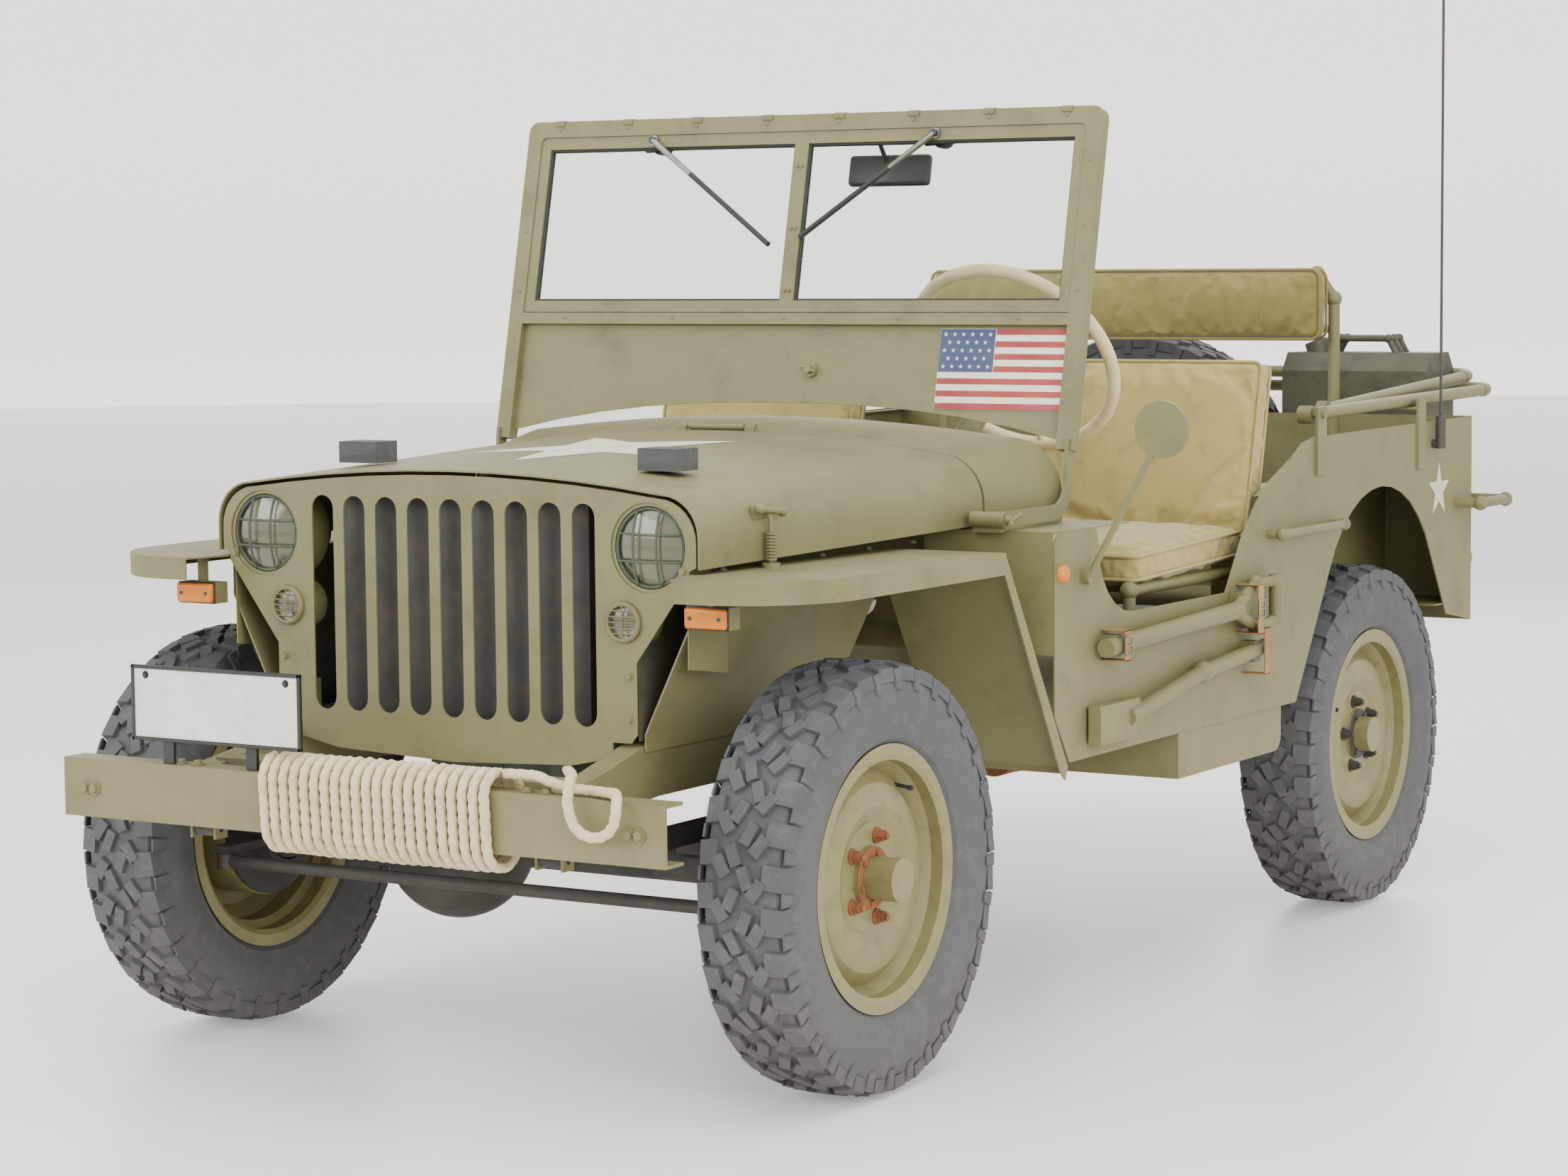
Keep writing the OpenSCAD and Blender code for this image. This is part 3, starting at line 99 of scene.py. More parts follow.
# ---------------------------------------------------------------- camera, light and floor
CAM_AT = Vector((3.630, -6.113, 1.359))
CAM_AZ, CAM_EL, CAM_ROLL = (math.radians(a) for a in (30.71, 5.19, -0.46))
back = Vector((math.sin(CAM_AZ) * math.cos(CAM_EL), -math.cos(CAM_AZ) * math.cos(CAM_EL), math.sin(CAM_EL)))
level = Vector((0, 0, 1)).cross(back).normalized()
upward = back.cross(level)
right = math.cos(CAM_ROLL) * level + math.sin(CAM_ROLL) * upward
above = back.cross(right)
camera_data = bpy.data.cameras.new("camera")
camera_data.lens, camera_data.sensor_width = 84.37, 36
camera_data.shift_x, camera_data.shift_y = -0.0319, 0.0014
camera_data.clip_end = 60
camera = bpy.data.objects.new("camera", camera_data)
camera.matrix_world = Matrix((right, above, back)).transposed().to_4x4()
camera.location = CAM_AT
bpy.context.scene.collection.objects.link(camera)
bpy.context.scene.camera = camera


# ---------------------------------------------------------------- materials
def srgb(code, alpha=1.0):
    parts = [int(code[i:i + 2], 16) / 255 for i in (1, 3, 5)]
    return [p / 12.92 if p < 0.04045 else ((p + 0.055) / 1.055) ** 2.4 for p in parts] + [alpha]


def node(mat, kind, links=(), **settings):
    """Adds one node; settings are properties or input names, links are (input, node, output)."""
    made = mat.node_tree.nodes.new("ShaderNode" + kind)
    for name, value in settings.items():
        key = name.replace("_", " ")
        if hasattr(made, name):
            setattr(made, name, value)
        else:
            made.inputs[next(i for i, s in enumerate(made.inputs) if s.name.lower() == key.lower())].default_value = value
    for socket, source, output in links:
        mat.node_tree.links.new(source.outputs[output], made.inputs[socket])
    return made


def ramp(mat, source, output, stops):
    made = node(mat, "ValToRGB", [("Fac", source, output)])
    while len(made.color_ramp.elements) < len(stops):
        made.color_ramp.elements.new(0.5)
    for element, (at, value) in zip(made.color_ramp.elements, stops):
        element.position = at
        element.color = (value, value, value, 1)
    return made


def material(name, roughness=0.6, metallic=0.0, colour="#808080", **settings):
    mat = bpy.data.materials.new(name)
    mat.use_nodes = True
    shader = mat.node_tree.nodes["Principled BSDF"]
    shader.inputs["Base Color"].default_value = srgb(colour)
    shader.inputs["Roughness"].default_value = roughness
    shader.inputs["Metallic"].default_value = metallic
    for key, value in settings.items():
        shader.inputs[key.replace("_", " ")].default_value = value
    mat.diffuse_color = srgb(colour)
    return mat, shader


def finish(name, base, second, third=None, roughness=0.6, metallic=0.0, patch=3.0, grain=220.0, bump=0.15,
           wear=0.0, wear_colour="#5a3a22", wear_scale=16.0, rough_spread=0.12, dust=0.0, stretch=(1, 1, 1), **settings):
    """A mottled solid finish: two tones in broad patches, a fine grain, worn spots and dust low down."""
    mat, shader = material(name, roughness, metallic, base, **settings)
    link = mat.node_tree.links.new
    where = node(mat, "TexCoord")
    at = node(mat, "Mapping", [("Vector", where, "Object")], Scale=stretch)
    broad = node(mat, "TexNoise", [("Vector", at, "Vector")], Scale=patch, Detail=6.0, Roughness=0.6)
    broad_mask = ramp(mat, broad, "Fac", [(0.36, 0.0), (0.66, 1.0)])
    tone = node(mat, "Mix", [("Factor", broad_mask, "Color")], data_type="RGBA")
    tone.inputs[6].default_value, tone.inputs[7].default_value = srgb(base), srgb(second)
    last = tone
    if third:
        stain = node(mat, "TexNoise", [("Vector", at, "Vector")], Scale=patch * 4.3, Detail=8.0, Roughness=0.7)
        stain_mask = ramp(mat, stain, "Fac", [(0.50, 0.0), (0.72, 0.8)])
        mixed = node(mat, "Mix", [("Factor", stain_mask, "Color")], data_type="RGBA")
        link(last.outputs[2], mixed.inputs[6])
        mixed.inputs[7].default_value = srgb(third)
        last = mixed
    if wear:
        spots = node(mat, "TexNoise", [("Vector", at, "Vector")], Scale=wear_scale, Detail=12.0, Roughness=0.75)
        spot_mask = ramp(mat, spots, "Fac", [(0.70 - wear, 0.0), (0.73 - wear, 1.0)])
        mixed = node(mat, "Mix", [("Factor", spot_mask, "Color")], data_type="RGBA")
        link(last.outputs[2], mixed.inputs[6])
        mixed.inputs[7].default_value = srgb(wear_colour)
        last = mixed
    if dust:
        height = node(mat, "SeparateXYZ", [("Vector", where, "Object")])
        low = node(mat, "MapRange", [("Value", height, "Z")], From_Min=0.15, From_Max=0.75, To_Min=dust, To_Max=0.0)
        mixed = node(mat, "Mix", [("Factor", low, "Result")], data_type="RGBA")
        link(last.outputs[2], mixed.inputs[6])
        mixed.inputs[7].default_value = srgb("#9a8a6c")
        last = mixed
    link(last.outputs[2], shader.inputs["Base Color"])
    fine = node(mat, "TexNoise", [("Vector", at, "Vector")], Scale=grain, Detail=3.0)
    shine = node(mat, "MapRange", [("Value", broad, "Fac")], From_Min=0.3, From_Max=0.7,
                 To_Min=max(roughness - rough_spread, 0.03), To_Max=min(roughness + rough_spread, 1.0))
    link(shine.outputs["Result"], shader.inputs["Roughness"])
    if bump:
        raised = node(mat, "Bump", [("Height", fine, "Fac")], Strength=bump, Distance=0.0006)
        link(raised.outputs["Normal"], shader.inputs["Normal"])
    return mat


# brushed-on synthetic enamel over steel: flat olive drab, chalky where the sun and rain reach it
paint = finish("weathered_olive_enamel", "#696641", "#73704b", "#595637", roughness=0.58, patch=2.2, grain=900, bump=0.10,
               wear=0.03, wear_colour="#59523a", wear_scale=30, rough_spread=0.10, dust=0.30)
# the same enamel made darker, for the can and the inner splash panels: painted shade where parts sit in shadow, plus
# oil
dark_paint = finish("painted_shade_oily_olive_enamel", "#4c4b3a", "#3e3d31", "#2f2e27", roughness=0.7, patch=5, grain=700, bump=0.2,
                    wear=0.05, wear_colour="#5b3d28", wear_scale=24)
# wheels carry a paler coat that has yellowed
wheel_paint = finish("yellowed_wheel_enamel", "#767049", "#827b52", "#655f3e", roughness=0.5, patch=7, grain=700, bump=0.1,
                     wear=0.03, wear_colour="#6d5f3c", wear_scale=40)
# bare steel left to rust: matt, orange in the hollows
rust = finish("rusted_steel", "#7a4a2a", "#8f5a30", "#4a2f20", roughness=0.85, patch=14, grain=500, bump=0.5,
              wear=0.06, wear_colour="#a3683a", wear_scale=60)
# forged and cast chassis steel under old black paint and oil
chassis_steel = finish("oily_black_steel", "#34332f", "#2a2a27", "#4a3a2c", roughness=0.6, patch=9, grain=500, bump=0.3)
grey_iron = finish("painted_cast_iron", "#47503f", "#3a4235", "#2c2c26", roughness=0.65, patch=9, grain=300, bump=0.5)
# zinc-plated spring steel, dull grey
bright_steel = finish("dull_zinc_plate", "#8c8d86", "#787972", roughness=0.38, metallic=0.9, patch=20, grain=800, bump=0.08)
black_enamel = finish("black_enamel", "#1b1c1b", "#232422", roughness=0.45, patch=12, grain=600, bump=0.08)
white_paint = finish("white_enamel", "#deddd2", "#d2d0c2", "#c4c0ae", roughness=0.5, patch=9, grain=500, bump=0.06)
red_paint = finish("red_enamel", "#9c2f28", "#8a2a25", roughness=0.5, patch=12, grain=500, bump=0.06)
blue_paint = finish("blue_enamel", "#27345c", "#2f3d68", roughness=0.5, patch=12, grain=500, bump=0.06)
# star paint is thin and lets some olive through
star_white = finish("faded_white_stencil", "#d3d1c0", "#c2c0ab", "#a9a688", roughness=0.6, patch=14, grain=500, bump=0.05)
# natural rubber with carbon black: greys and dusts with age
rubber = finish("aged_tyre_rubber", "#414347", "#4a4c51", "#5a5a5b", roughness=0.80, patch=9, grain=420, bump=0.25, dust=0.06)
# turned ash handle, oiled
ash = finish("oiled_ash", "#8a6a42", "#765734", "#5f4529", roughness=0.55, patch=6, grain=300, bump=0.2, stretch=(6, 1, 6))
dark_wood = finish("painted_oak_block", "#4b4c4a", "#404140", "#333433", roughness=0.7, patch=9, grain=260, bump=0.5, stretch=(1, 6, 6))
leather = finish("tan_bridle_leather", "#9a7444", "#86623a", "#6a4c2c", roughness=0.5, patch=12, grain=500, bump=0.3)
cream = finish("cream_wrapped_rim", "#d8c7a0", "#cbb88e", "#b39f78", roughness=0.55, patch=14, grain=400, bump=0.2)
mirror_glass, _ = material("silvered_glass", 0.03, 1.0, "#c8ccce")
black_rubber = finish("soft_black_rubber", "#222322", "#2b2c2b", roughness=0.7, patch=18, grain=500, bump=0.15)


def clear(name, colour, roughness=0.02, ior=1.5, transmission=1.0, alpha=1.0):
    mat, shader = material(name, roughness, 0.0, colour)
    shader.inputs["Transmission Weight"].default_value = transmission
    shader.inputs["IOR"].default_value = ior
    shader.inputs["Alpha"].default_value = alpha
    return mat


window_glass = clear("flat_safety_glass", "#eef3ee", 0.01, 1.1)
lens_glass = clear("pressed_lamp_glass", "#f2f4f0", 0.05)
amber = clear("amber_lens", "#f08a1e", 0.12, 1.45, 0.35)
red_lens = clear("red_lens", "#a81e18", 0.12, 1.45, 0.35)
reflector, _ = material("aluminised_reflector", 0.12, 1.0, "#d8dadb")


def cloth(name, base, second, third, thread=0.0026, bump=0.5, sheen=0.25):
    """Woven cotton: over-and-under threads as two crossed waves, drawn coarser than the real 0.6 mm so they show."""
    mat, shader = material(name, 0.88, 0.0, base)
    shader.inputs["Sheen Weight"].default_value = sheen
    shader.inputs["Sheen Roughness"].default_value = 0.5
    link = mat.node_tree.links.new
    where = node(mat, "TexCoord")
    broad = node(mat, "TexNoise", [("Vector", where, "Object")], Scale=6.0, Detail=6.0, Roughness=0.6)
    mask = ramp(mat, broad, "Fac", [(0.35, 0.0), (0.68, 1.0)])
    tone = node(mat, "Mix", [("Factor", mask, "Color")], data_type="RGBA")
    tone.inputs[6].default_value, tone.inputs[7].default_value = srgb(base), srgb(second)
    stain = node(mat, "TexNoise", [("Vector", where, "Object")], Scale=26.0, Detail=8.0, Roughness=0.7)
    stain_mask = ramp(mat, stain, "Fac", [(0.52, 0.0), (0.75, 0.7)])
    mixed = node(mat, "Mix", [("Factor", stain_mask, "Color")], data_type="RGBA")
    link(tone.outputs[2], mixed.inputs[6])
    mixed.inputs[7].default_value = srgb(third)
    link(mixed.outputs[2], shader.inputs["Base Color"])
    waves = [node(mat, "TexWave", [("Vector", where, "Object")], bands_direction=d, Scale=0.314 / thread, Distortion=1.2,
                  Detail=1.0) for d in ("X", "Z")]
    both = node(mat, "Math", operation="MULTIPLY")
    for i, wave in enumerate(waves):
        link(wave.outputs["Fac"], both.inputs[i])
    raised = node(mat, "Bump", [("Height", both, "Value")], Strength=bump, Distance=0.0006)
    link(raised.outputs["Normal"], shader.inputs["Normal"])
    return mat


# 15 oz cotton duck in khaki, faded along the seams, and an olive one on the rear seat
khaki = cloth("khaki_cotton_duck", "#998a50", "#a7975d", "#7f7040")
olive_duck = cloth("olive_cotton_duck", "#736a36", "#7f753f", "#5c542b")
green_web = cloth("dark_green_webbing", "#3a4231", "#444c39", "#2d3327", thread=0.004, bump=0.8)
tan_web = cloth("tan_cotton_webbing", "#9b8053", "#8a7048", "#75603c", thread=0.004, bump=0.8)
# laid manila: three strands, straw coloured, dusty in the lay
manila = finish("laid_manila_rope", "#d6c6a4", "#c8b793", "#a8946e", roughness=0.9, patch=22, grain=900, bump=0.6)


# ---------------------------------------------------------------- mesh helpers
def piece(name, bm, mat, body="root", crease=32, bevel=0.0, segments=2, subdiv=0, also=()):
    """Turns a finished bmesh into an object that rides on a body, smooth except at its creases."""
    bmesh.ops.recalc_face_normals(bm, faces=bm.faces)
    for face in bm.faces:
        face.smooth = True
    for edge in bm.edges:
        if len(edge.link_faces) == 2 and edge.calc_face_angle(0) > math.radians(crease):
            edge.smooth = False
    mesh = bpy.data.meshes.new(name)
    bm.to_mesh(mesh)
    bm.free()
    made = bpy.data.objects.new(name, mesh)
    bpy.context.scene.collection.objects.link(made)
    mesh.materials.append(mat)
    for extra in also:
        mesh.materials.append(extra)
    if bevel:
        rounder = made.modifiers.new("edges", "BEVEL")
        rounder.width, rounder.segments, rounder.limit_method = bevel, segments, "ANGLE"
        rounder.angle_limit = math.radians(40)
        rounder.harden_normals = False
    if subdiv:
        smoother = made.modifiers.new("smooth", "SUBSURF")
        smoother.levels = smoother.render_levels = subdiv
    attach(made, body)
    return made


def axis_turn(direction):
    return Vector((0, 0, 1)).rotation_difference(Vector(direction).normalized()).to_matrix().to_4x4()


def rod(bm, p, q, r, r2=None, n=20):
    """A round bar from p to q."""
    p, q = Vector(p), Vector(q)
    place = Matrix.Translation((p + q) / 2) @ axis_turn(q - p)
    return bmesh.ops.create_cone(bm, cap_ends=True, segments=n, radius1=r, radius2=r if r2 is None else r2,
                                 depth=(q - p).length, matrix=place)["verts"]


def block(bm, lo, hi, turn=None, bevel=0.0, segments=2):
    """A box between two corners, its edges rounded."""
    lo, hi = Vector(lo), Vector(hi)
    size, mid = hi - lo, (hi + lo) / 2
    place = Matrix.Translation(mid) @ (turn.to_4x4() if turn else Matrix()) @ Matrix.Diagonal((*size, 1))
    verts = bmesh.ops.create_cube(bm, size=1, matrix=place)["verts"]
    if bevel:
        edges = list({e for v in verts for e in v.link_edges})
        bmesh.ops.bevel(bm, geom=edges, offset=bevel, offset_type="OFFSET", segments=segments, affect="EDGES",
                        profile=0.5, material=-1)
    return verts


def ball(bm, at, r, squash=(1, 1, 1), n=16):
    place = Matrix.Translation(at) @ Matrix.Diagonal((*squash, 1))
    return bmesh.ops.create_uvsphere(bm, u_segments=n, v_segments=n // 2, radius=r, matrix=place)["verts"]


def lathe(bm, profile, at, axis, n=48, closed=False):
    """Spins (radius, height) points round an axis through a point."""
    place = Matrix.Translation(at) @ axis_turn(axis)
    verts = [bm.verts.new(place @ Vector((r, 0, h))) for r, h in profile]
    edges = [bm.edges.new(pair) for pair in zip(verts, verts[1:])]
    if closed:
        edges.append(bm.edges.new((verts[-1], verts[0])))
    bmesh.ops.spin(bm, geom=verts + edges, cent=at, axis=(place.to_3x3() @ Vector((0, 0, 1))), angle=math.tau,
                   steps=n, use_merge=True)
    bmesh.ops.remove_doubles(bm, verts=bm.verts, dist=1e-6)


def sheet(bm, outline, thickness, place=Matrix()):
    """A flat plate from an outline in its own XY plane, thickened along +Z."""
    face = bm.faces.new([bm.verts.new(place @ Vector((x, y, 0))) for x, y in outline])
    grown = bmesh.ops.extrude_face_region(bm, geom=[face])["geom"]
    lift = place.to_3x3() @ Vector((0, 0, thickness))
    bmesh.ops.translate(bm, verts=[g for g in grown if isinstance(g, bmesh.types.BMVert)], vec=lift)
    return grown


def frame_along(points):
    """A direction and two sideways directions at each point, carried along without twisting."""
    points = [Vector(p) for p in points]
    ways = [(points[min(i + 1, len(points) - 1)] - points[max(i - 1, 0)]).normalized() for i in range(len(points))]
    side = ways[0].orthogonal().normalized()
    frames = []
    for way in ways:
        side = (side - side.dot(way) * way).normalized()
        frames.append((way, side, way.cross(side)))
    return points, frames


def tube(bm, points, r, n=12, shape=None):
    """A round bar bent along points; shape(step, angle) may change its radius."""
    points, frames = frame_along(points)
    rings = []
    for i, (at, (way, side, other)) in enumerate(zip(points, frames)):
        rings.append([bm.verts.new(at + (side * math.cos(a) + other * math.sin(a)) * (shape(i, a) if shape else r))
                      for a in (math.tau * k / n for k in range(n))])
    for one, two in zip(rings, rings[1:]):
        for k in range(n):
            bm.faces.new((one[k], one[(k + 1) % n], two[(k + 1) % n], two[k]))
    bm.faces.new(list(reversed(rings[0])))
    bm.faces.new(rings[-1])


def rounded(points, radius, steps=6):
    """The same route with each corner turned into an arc."""
    points = [Vector(p) for p in points]
    route = [points[0]]
    for before, at, after in zip(points, points[1:], points[2:]):
        u, w = (at - before).normalized(), (after - at).normalized()
        turn = u.angle(w, 0)
        if turn < 0.02:
            route.append(at)
            continue
        cut = min(radius * math.tan(turn / 2), (at - before).length * 0.49, (after - at).length * 0.49)
        a, b = at - u * cut, at + w * cut
        for k in range(steps + 1):
            t = k / steps
            route.append(a * (1 - t) ** 2 + at * 2 * t * (1 - t) + b * t * t)
    route.append(points[-1])
    return route


def bolt(bm, at, axis, r=0.008, h=0.005, washer=True):
    """A hexagon head on a thin washer."""
    at, axis = Vector(at), Vector(axis).normalized()
    if washer:
        rod(bm, at, at + axis * h * 0.3, r * 1.45, n=16)
    rod(bm, at + axis * h * 0.2, at + axis * h * 1.25, r, r * 0.92, n=6)


def rivet(bm, at, axis, r=0.006):
    verts = bmesh.ops.create_uvsphere(bm, u_segments=10, v_segments=6, radius=r,
                                      matrix=Matrix.Translation(at) @ axis_turn(axis) @ Matrix.Diagonal((1, 1, 0.5, 1)))
    return verts


def mirrored(bm):
    """Adds the other half across the centreline."""
    copied = bmesh.ops.duplicate(bm, geom=bm.verts[:] + bm.edges[:] + bm.faces[:])["geom"]
    bmesh.ops.scale(bm, verts=[g for g in copied if isinstance(g, bmesh.types.BMVert)], vec=(-1, 1, 1))


# ---------------------------------------------------------------- rope on the front bumper
ROPE_D = 0.0178
COIL = (-0.181, 0.321)
LOOP_R, LOOP_C = 0.037, 0.0375
mid_y, mid_z = BUMPER_Y + 0.025, 0.4857
pitch = 0.0209
turns = int((COIL[1] - COIL[0] - 2 * ROPE_D) / pitch)
straight, bend = 2 * LOOP_C, math.pi * LOOP_R
around = 2 * (straight + bend)


def loop_point(s):
    """A point on the tall round-ended loop, s from its top centre, forwards first."""
    s %= around
    if s < bend / 2:
        a = s / LOOP_R
        return -math.sin(a) * LOOP_R, LOOP_C + math.cos(a) * LOOP_R
    s -= bend / 2
    if s < straight:
        return -LOOP_R, LOOP_C - s
    s -= straight
    if s < bend:
        a = s / LOOP_R
        return -math.cos(a) * LOOP_R, -LOOP_C - math.sin(a) * LOOP_R
    s -= bend
    if s < straight:
        return LOOP_R, -LOOP_C + s
    a = (s - straight) / LOOP_R
    return math.cos(a) * LOOP_R, LOOP_C + math.sin(a) * LOOP_R


route = []
per_turn = 84
for k in range(turns * per_turn + 1):
    y, z = loop_point(around * k / per_turn)
    wave = 0.0006 * math.sin(k * 0.61)
    route.append(Vector((COIL[0] + ROPE_D * 0.7 + pitch * k / per_turn, mid_y + y, mid_z + z + wave)))
loose = [(345, -1495, 561), (358, -1495, 558), (374, -1495, 553), (392, -1495, 549), (410, -1495, 546), (430, -1495, 545),
         (455, -1497, 544.6), (480, -1503, 544.6), (500, -1512, 546), (516, -1524, 546), (526, -1538, 538),
         (529, -1545, 522), (525, -1545, 504), (514, -1544, 490), (497, -1543, 482), (478, -1543, 481), (460, -1543, 488),
         (448, -1544, 502), (443, -1545, 518), (441, -1546, 534), (439, -1540, 551), (434, -1528, 564), (426, -1512, 569),
         (414, -1498, 570), (400, -1486, 572)]
anchor = [route[-1]] + [Vector(p) * MM for p in loose]


def smooth_route(points, step):
    """A Catmull-Rom line through the points, at equal steps."""
    padded = [points[0] * 2 - points[1]] + points + [points[-1] * 2 - points[-2]]
    dense = []
    for a, b, c, d in zip(padded, padded[1:], padded[2:], padded[3:]):
        for k in range(12):
            t = k / 12
            dense.append(0.5 * ((2 * b) + (c - a) * t + (2 * a - 5 * b + 4 * c - d) * t * t + (3 * b - a - 3 * c + d) * t ** 3))
    dense.append(points[-1])
    out, gone = [dense[0]], 0.0
    for p, q in zip(dense, dense[1:]):
        gone += (q - p).length
        if gone >= step:
            out.append(q)
            gone = 0.0
    return out


route = route[:-1] + smooth_route(anchor, 0.0045)
lay, gone = [], 0.0
for p, q in zip([route[0]] + route, route):
    gone += (q - p).length
    lay.append(gone)
rope_mesh = bmesh.new()
tube(rope_mesh, route, ROPE_D / 2, n=18,
     shape=lambda i, a: ROPE_D / 2 * (0.74 + 0.26 * abs(math.cos(1.5 * (a + lay[i] * math.tau / 0.058)))))
rope = piece("bumper_rope", rope_mesh, manila, crease=80)
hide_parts("rope_coil", "rope_tail")

# ---------------------------------------------------------------- CAD parts take their finishes
FINISHES = {
    "paint": paint, "wheel_paint": wheel_paint, "can_paint": dark_paint, "dark_steel": chassis_steel, "rusty_steel": rust,
    "cast_iron": grey_iron, "lamp": paint, "wiper": bright_steel, "plate": black_enamel, "rope": manila, "canvas": khaki,
    "olive_canvas": olive_duck, "wheel_rim": cream, "wood": dark_wood, "glass": window_glass, "tyre": rubber}
slots = {entry["node"]: entry["material_slot"] for entry in frame["record"]["subparts"]}
for name, slot_name in slots.items():
    made = frame["nodes"][name]
    made = made if hasattr(made, "material_slots") else bpy.data.objects[name]
    for material_slot in made.material_slots:
        material_slot.material = FINISHES[slot_name]
    if not made.material_slots:
        made.data.materials.append(FINISHES[slot_name])


def skin(name, crease=24, bevel=0.0):
    """The CAD node's own shape again, shaded smooth where its steel is curved."""
    source = bpy.data.objects[name]
    bm = bmesh.new()
    bm.from_mesh(source.data)
    bmesh.ops.remove_doubles(bm, verts=bm.verts, dist=2e-6)
    made = piece(f"{name}_skin", bm, FINISHES[slots[name]], source["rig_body"], crease=crease)
    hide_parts(name)
    return made


for name in ("hood", "cowl", "fenders"):
    skin(name)

# ---------------------------------------------------------------- studio: floor, sweep and soft lights
stage_mat, stage_shader = material("pale_studio_floor", 0.36, 0.0, "#e6e2da")
wall_mat, wall_shader = material("pale_studio_wall", 0.9, 0.0, "#e6e4df")
for shader, colour, strength in ((stage_shader, (0.93, 0.91, 0.88, 1), 0.30), (wall_shader, (0.96, 0.95, 0.92, 1), 1.15)):
    shader.inputs["Emission Color"].default_value = colour
    shader.inputs["Emission Strength"].default_value = strength
world = bpy.data.worlds.new("studio_air")
world.use_nodes = True
world.node_tree.nodes["Background"].inputs["Color"].default_value = (0.93, 0.95, 1.0, 1)
world.node_tree.nodes["Background"].inputs["Strength"].default_value = 0.62
bpy.context.scene.world = world
floor_mesh = bmesh.new()
bmesh.ops.create_circle(floor_mesh, cap_ends=True, segments=96, radius=31)
floor = bpy.data.objects.new("studio_floor", bpy.data.meshes.new("studio_floor"))
floor_mesh.to_mesh(floor.data)
wall_mesh = bmesh.new()
# wide enough that a camera that frames the whole car from any side stands inside it
lathe(wall_mesh, [(28.4, 0.0), (28.6, 0.04), (29.4, 0.66), (29.6, 2.6), (29.6, 19.8)], (0, 0, 0), (0, 0, 1), n=128)
wall = bpy.data.objects.new("studio_wall", bpy.data.meshes.new("studio_wall"))
wall_mesh.to_mesh(wall.data)
for made, mat in ((floor, stage_mat), (wall, wall_mat)):
    made.data.materials.append(mat)
    for face in made.data.polygons:
        face.use_smooth = True
    bpy.context.scene.collection.objects.link(made)
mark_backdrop(floor, wall)
for name, at, aim, size, power, colour in (
        ("overhead_box", (0.6, -1.0, 5.2), (0, 0, 0.4), (6.5, 6.5), 420, (1.0, 0.985, 0.96)),
        ("front_left_box", (6.2, -4.2, 3.0), (0.3, 0, 0.6), (4.5, 3.0), 270, (1.0, 0.98, 0.95)),
        ("front_right_box", (-3.6, -6.0, 2.8), (0, -0.8, 0.6), (4.0, 2.6), 190, (0.97, 0.985, 1.0)),
        ("back_box", (-1.5, 6.8, 3.6), (0, 0.6, 0.8), (6.0, 2.6), 180, (1.0, 0.99, 0.97))):
    lamp_data = bpy.data.lights.new(name, "AREA")
    lamp_data.shape, lamp_data.size, lamp_data.size_y = "RECTANGLE", *size
    lamp_data.energy, lamp_data.color = power, colour
    lamp = bpy.data.objects.new(name, lamp_data)
    lamp.location = at
    lamp.visible_camera = False
    lamp.rotation_euler = (Vector(aim) - Vector(at)).to_track_quat("-Z", "Y").to_euler()
    bpy.context.scene.collection.objects.link(lamp)

# ---------------------------------------------------------------- tyres: cross-ply 6.00-16 with a mud-bar tread
TYRE_R, TYRE_W, RIM_R = 0.355, 0.165, 0.203
CARCASS = TYRE_R - 0.011
half = TYRE_W / 2
SECTION = [(RIM_R + 0.0006, -0.054), (RIM_R + 0.012, -0.057), (RIM_R + 0.020, -0.064), (RIM_R + 0.026, -0.0705),
           (RIM_R + 0.030, -0.0705), (RIM_R + 0.046, -0.0775), ((RIM_R + TYRE_R) / 2, -half), (TYRE_R - 0.060, -half + 0.0006),
           (TYRE_R - 0.044, -half + 0.003), (TYRE_R - 0.026, -half + 0.008), (CARCASS - 0.003, -half + 0.018),
           (CARCASS, -half + 0.030), (CARCASS + 0.0015, -0.03), (CARCASS + 0.002, 0.0)]
SECTION += [(r, -h) for r, h in reversed(SECTION[:-1])]


def lug(bm, turn, along, slant, length, width, low, high, taper=0.82):
    """One rubber block on the tread: its foot is bent to the tyre's round, its top is a little smaller."""
    rings = []
    for r, grow in ((low, 1.0), (high, taper)):
        ring = []
        for u, v in ((-1, -1), (1, -1), (1, 1), (-1, 1)):
            a, b = u * length / 2 * grow, v * width / 2 * grow
            h = along + a * math.cos(slant) - b * math.sin(slant)
            t = turn + (a * math.sin(slant) + b * math.cos(slant)) / TYRE_R
            fall = max(0.0, abs(h) - 0.050) * 0.30
            ring.append(bm.verts.new(((r - fall) * math.cos(t), (r - fall) * math.sin(t), h)))
        rings.append(ring)
    for k in range(4):
        bm.faces.new((rings[0][k], rings[0][(k + 1) % 4], rings[1][(k + 1) % 4], rings[1][k]))
    bm.faces.new(rings[1])
    bm.faces.new(list(reversed(rings[0])))


